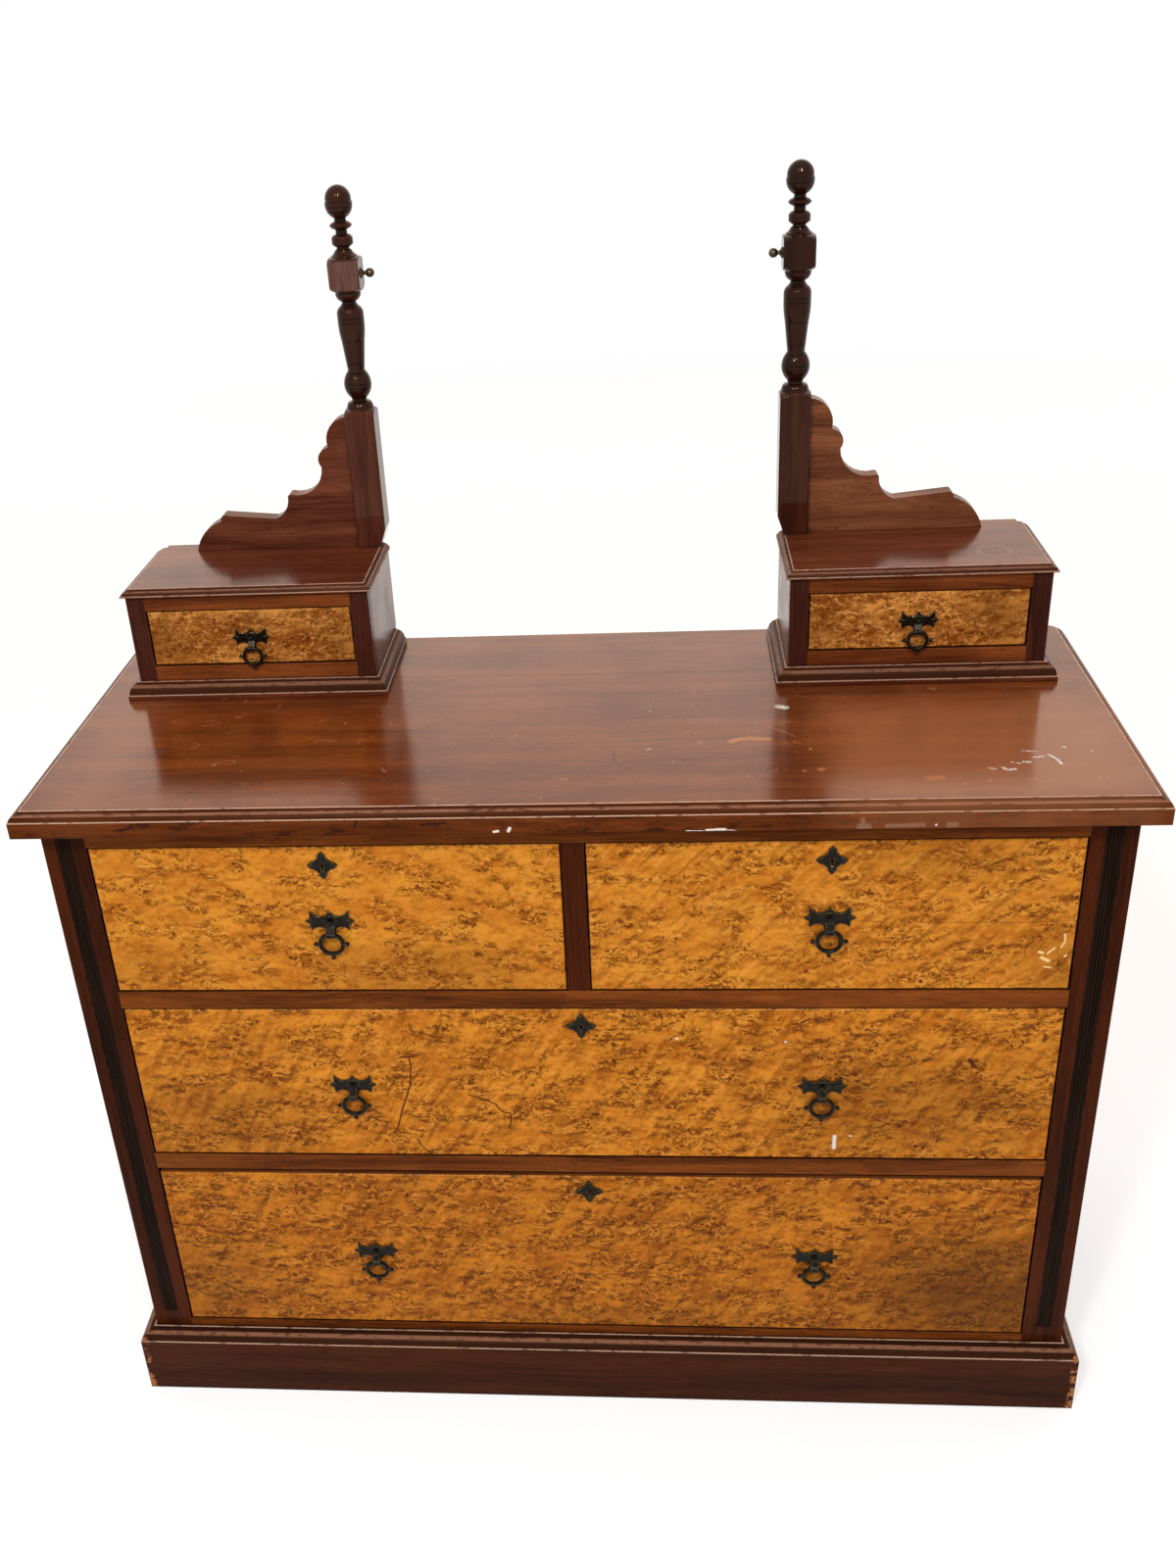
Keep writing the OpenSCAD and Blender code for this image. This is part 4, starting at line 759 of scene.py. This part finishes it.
short_right_marks = [
    (flecks(on_drawers(
        (1.4, (439.5, 610.6), (443.0, 609.4)), (1.0, (447.5, 608.8), (453.5, 615.0)),
        (1.7, (442.5, 604.0), (449.0, 600.4)), (0.9, (446.3, 593.5), (452.2, 592.3)),
        (0.9, (461.6, 630.5), (462.4, 622.2), (459.6, 616.1)),
        (0.9, (463.4, 605.1), (465.0, 606.5))), 0.9, 1.8), (248, 206, 140), 0.4),
    (scratches(on_drawers(
        (0.9, (265.4, 647.4), (301.3, 645.2), (415.6, 644.3), (471.9, 646.2))), 0.3),
     SCRATCH, 0.0)]
BOX_VENEER = dict(base=(144, 78, 24), pale=(228, 154, 72), dense=1.0, core=61.8, size=0.8)
BURRS = {
    "short_left": dict(seed=1.0, dense=0.2, slant=-0.7, silk_share=0.15,
                       dusk=[(-150.0, 590.0, 150.0, 50.0, 0.3), (-440.0, 596.0, 90.0, 36.0, 0.2)]),
    "short_right": dict(seed=2.0, dense=0.3, slant=0.9, silk_share=0.55, marks=short_right_marks,
                        dusk=[(350.0, 720.0, 110.0, 40.0, 0.3), (470.0, 600.0, 60.0, 60.0, 0.3)]),
    "middle": dict(seed=3.0, base=(190, 107, 22), pale=(226, 142, 42), brown=(106, 50, 8),
                   curl=(84, 35, 5), dense=0.4, silk_share=0.5, marks=middle_marks,
                   dusk=[(330.0, 420.0, 200.0, 90.0, 0.34), (-400.0, 400.0, 150.0, 90.0, 0.3)]),
    "bottom": dict(seed=4.0, base=(174, 94, 16), pale=(214, 130, 36), brown=(98, 46, 8),
                   curl=(78, 32, 5), dense=0.5, silk_share=0.45,
                   dusk=[(440.0, 160.0, 200.0, 120.0, 0.7), (-440.0, 150.0, 110.0, 90.0, 0.3),
                         (60.0, 110.0, 300.0, 40.0, 0.2)]),
    "box_left": dict(BOX_VENEER, seed=5.0,
                     dusk=[(-450.0, 850.0, 46.0, 44.0, 0.5), (-250.0, 846.0, 44.0, 40.0, 0.45),
                           (-330.0, 872.0, 70.0, 16.0, 0.3)]),
    "box_right": dict(BOX_VENEER, seed=6.0,
                      dusk=[(252.0, 846.0, 30.0, 34.0, 0.35), (440.0, 862.0, 60.0, 44.0, 0.5)]),
}
for seed, (name, values) in enumerate(BURRS.items()):
    dress(name + "_front", burr, **values)
    dress(name + ("_drawer" if name.startswith("box") else "_box"), pine, "Y", 50.0 + seed)
    for node in nodes:
        kind = node.removeprefix(name + "_").split("_")[0]
        if node.startswith(name + "_") and kind in ("plate", "plates", "lock", "ring"):
            dress(node, bronze, seed + 0.37 * len(node))

# Floor and background, in metres. Both look white to the camera and in reflections. The floor
# glows less near the chest, whose shadow it keeps.
NEAR, NEAR_GLOW = 1.2, 0.42
FAR, FAR_GLOW = 7.0, 0.57
FLOOR_RADIUS = 60.0
FLOOR_DROP = 0.0005     # keeps the floor clear of the underside of the chest


def seen(g):
    """1 for rays from the camera and for reflected and transmitted ones."""
    path = g.node("LightPath").outputs
    return g.most(path["Is Camera Ray"],
                  g.most(path["Is Glossy Ray"], path["Is Transmission Ray"]))


floor_mat = bpy.data.materials.new("floor")
floor_mat.use_nodes = True
floor_mat.node_tree.nodes.clear()
g = Graph(floor_mat.node_tree)
away = g.vec("LENGTH", g.node("TexCoord").outputs["Object"])
near = g.step(away, NEAR, FAR, NEAR_GLOW, FAR_GLOW)
shade = g.node("BsdfDiffuse", {"Color": (0.86, 0.86, 0.86, 1)})
glow = g.node("Emission", {"Color": (1, 1, 1, 1), "Strength": g.mul(seen(g), near)})
both = g.node("AddShader", {0: shade.outputs[0], 1: glow.outputs[0]})
g.node("OutputMaterial", {0: both.outputs[0]})
bpy.ops.mesh.primitive_circle_add(vertices=64, radius=FLOOR_RADIUS, fill_type="NGON",
                                  location=(0, 0, -FLOOR_DROP))
floor = bpy.context.object
floor.name = "floor"
floor.data.materials.append(floor_mat)

world = bpy.data.worlds.new("studio")
bpy.context.scene.world = world
world.use_nodes = True
world.node_tree.nodes.clear()
g = Graph(world.node_tree)
back = g.node("Background", {"Color": (1, 1, 1, 1),
                             "Strength": g.add(g.mul(seen(g), 0.5), 0.5)})
g.node("OutputWorld", {0: back.outputs[0]})


def lamp(name, place, target, size, power, colour=(1, 1, 1), tall=None):
    """A round lamp, or one as wide as size and as tall as given."""
    light = bpy.data.lights.new(name, "AREA")
    light.shape = "RECTANGLE" if tall else "DISK"
    light.size = size
    if tall:
        light.size_y = tall
    light.energy = power
    light.color = colour
    o = bpy.data.objects.new(name, light)
    bpy.context.scene.collection.objects.link(o)
    o.location = place
    o.rotation_euler = (Vector(target) - Vector(place)).to_track_quat("-Z", "Y").to_euler()
    o.visible_camera = False


# Lamps: a soft one from the front, two small ones whose glints show on the turned posts, and a
# warm one behind
lamp("key", (-0.9, -2.4, 3.0), (0, 0, 0.6), 1.0, 12.0)
lamp("glint_left", (-0.7, -2.3, 2.9), (0, 0.19, 1.1), 0.3, 25.0)
lamp("glint_right", (0.5, -2.2, 3.1), (0, 0.19, 1.1), 0.3, 25.0)
lamp("warm_back", (0.1, 3.6, 2.7), (0, 0, 0.9), 5.0, 34.0, (1.0, 0.55, 0.25), tall=3.0)

# Camera: the place, the turn and the framing were fitted to the corners of the chest. The
# place is in metres. The focal length and the shift of the middle are in pixels of the frame.
FOCAL = 1514.3
LONG_SIDE = 1600.0
PLACE = (0.0838, -1.3791, 1.4514)
YAW, PITCH, ROLL = math.radians(-6.139), math.radians(27.529), math.radians(-3.805)
CENTRE_OFF = (-70.5, -21.4)

to_view = Matrix(((1, 0, 0), (0, 0, -1), (0, 1, 0)))
turn_y = Matrix(((math.cos(YAW), 0, -math.sin(YAW)), (0, 1, 0),
                 (math.sin(YAW), 0, math.cos(YAW))))
turn_x = Matrix(((1, 0, 0), (0, math.cos(PITCH), -math.sin(PITCH)),
                 (0, math.sin(PITCH), math.cos(PITCH))))
turn_z = Matrix(((math.cos(ROLL), -math.sin(ROLL), 0), (math.sin(ROLL), math.cos(ROLL), 0),
                 (0, 0, 1)))
view = turn_z @ turn_x @ turn_y @ to_view
camera_data = bpy.data.cameras.new("camera")
camera_data.lens = FOCAL * camera_data.sensor_width / LONG_SIDE
camera_data.shift_x = -CENTRE_OFF[0] / LONG_SIDE
camera_data.shift_y = CENTRE_OFF[1] / LONG_SIDE
camera = bpy.data.objects.new("camera", camera_data)
bpy.context.scene.collection.objects.link(camera)
axes = Matrix((view[0], -view[1], -view[2])).transposed()
camera.matrix_world = Matrix.Translation(PLACE) @ axes.to_4x4()
bpy.context.scene.camera = camera

bpy.context.scene.view_settings.view_transform = "Standard"
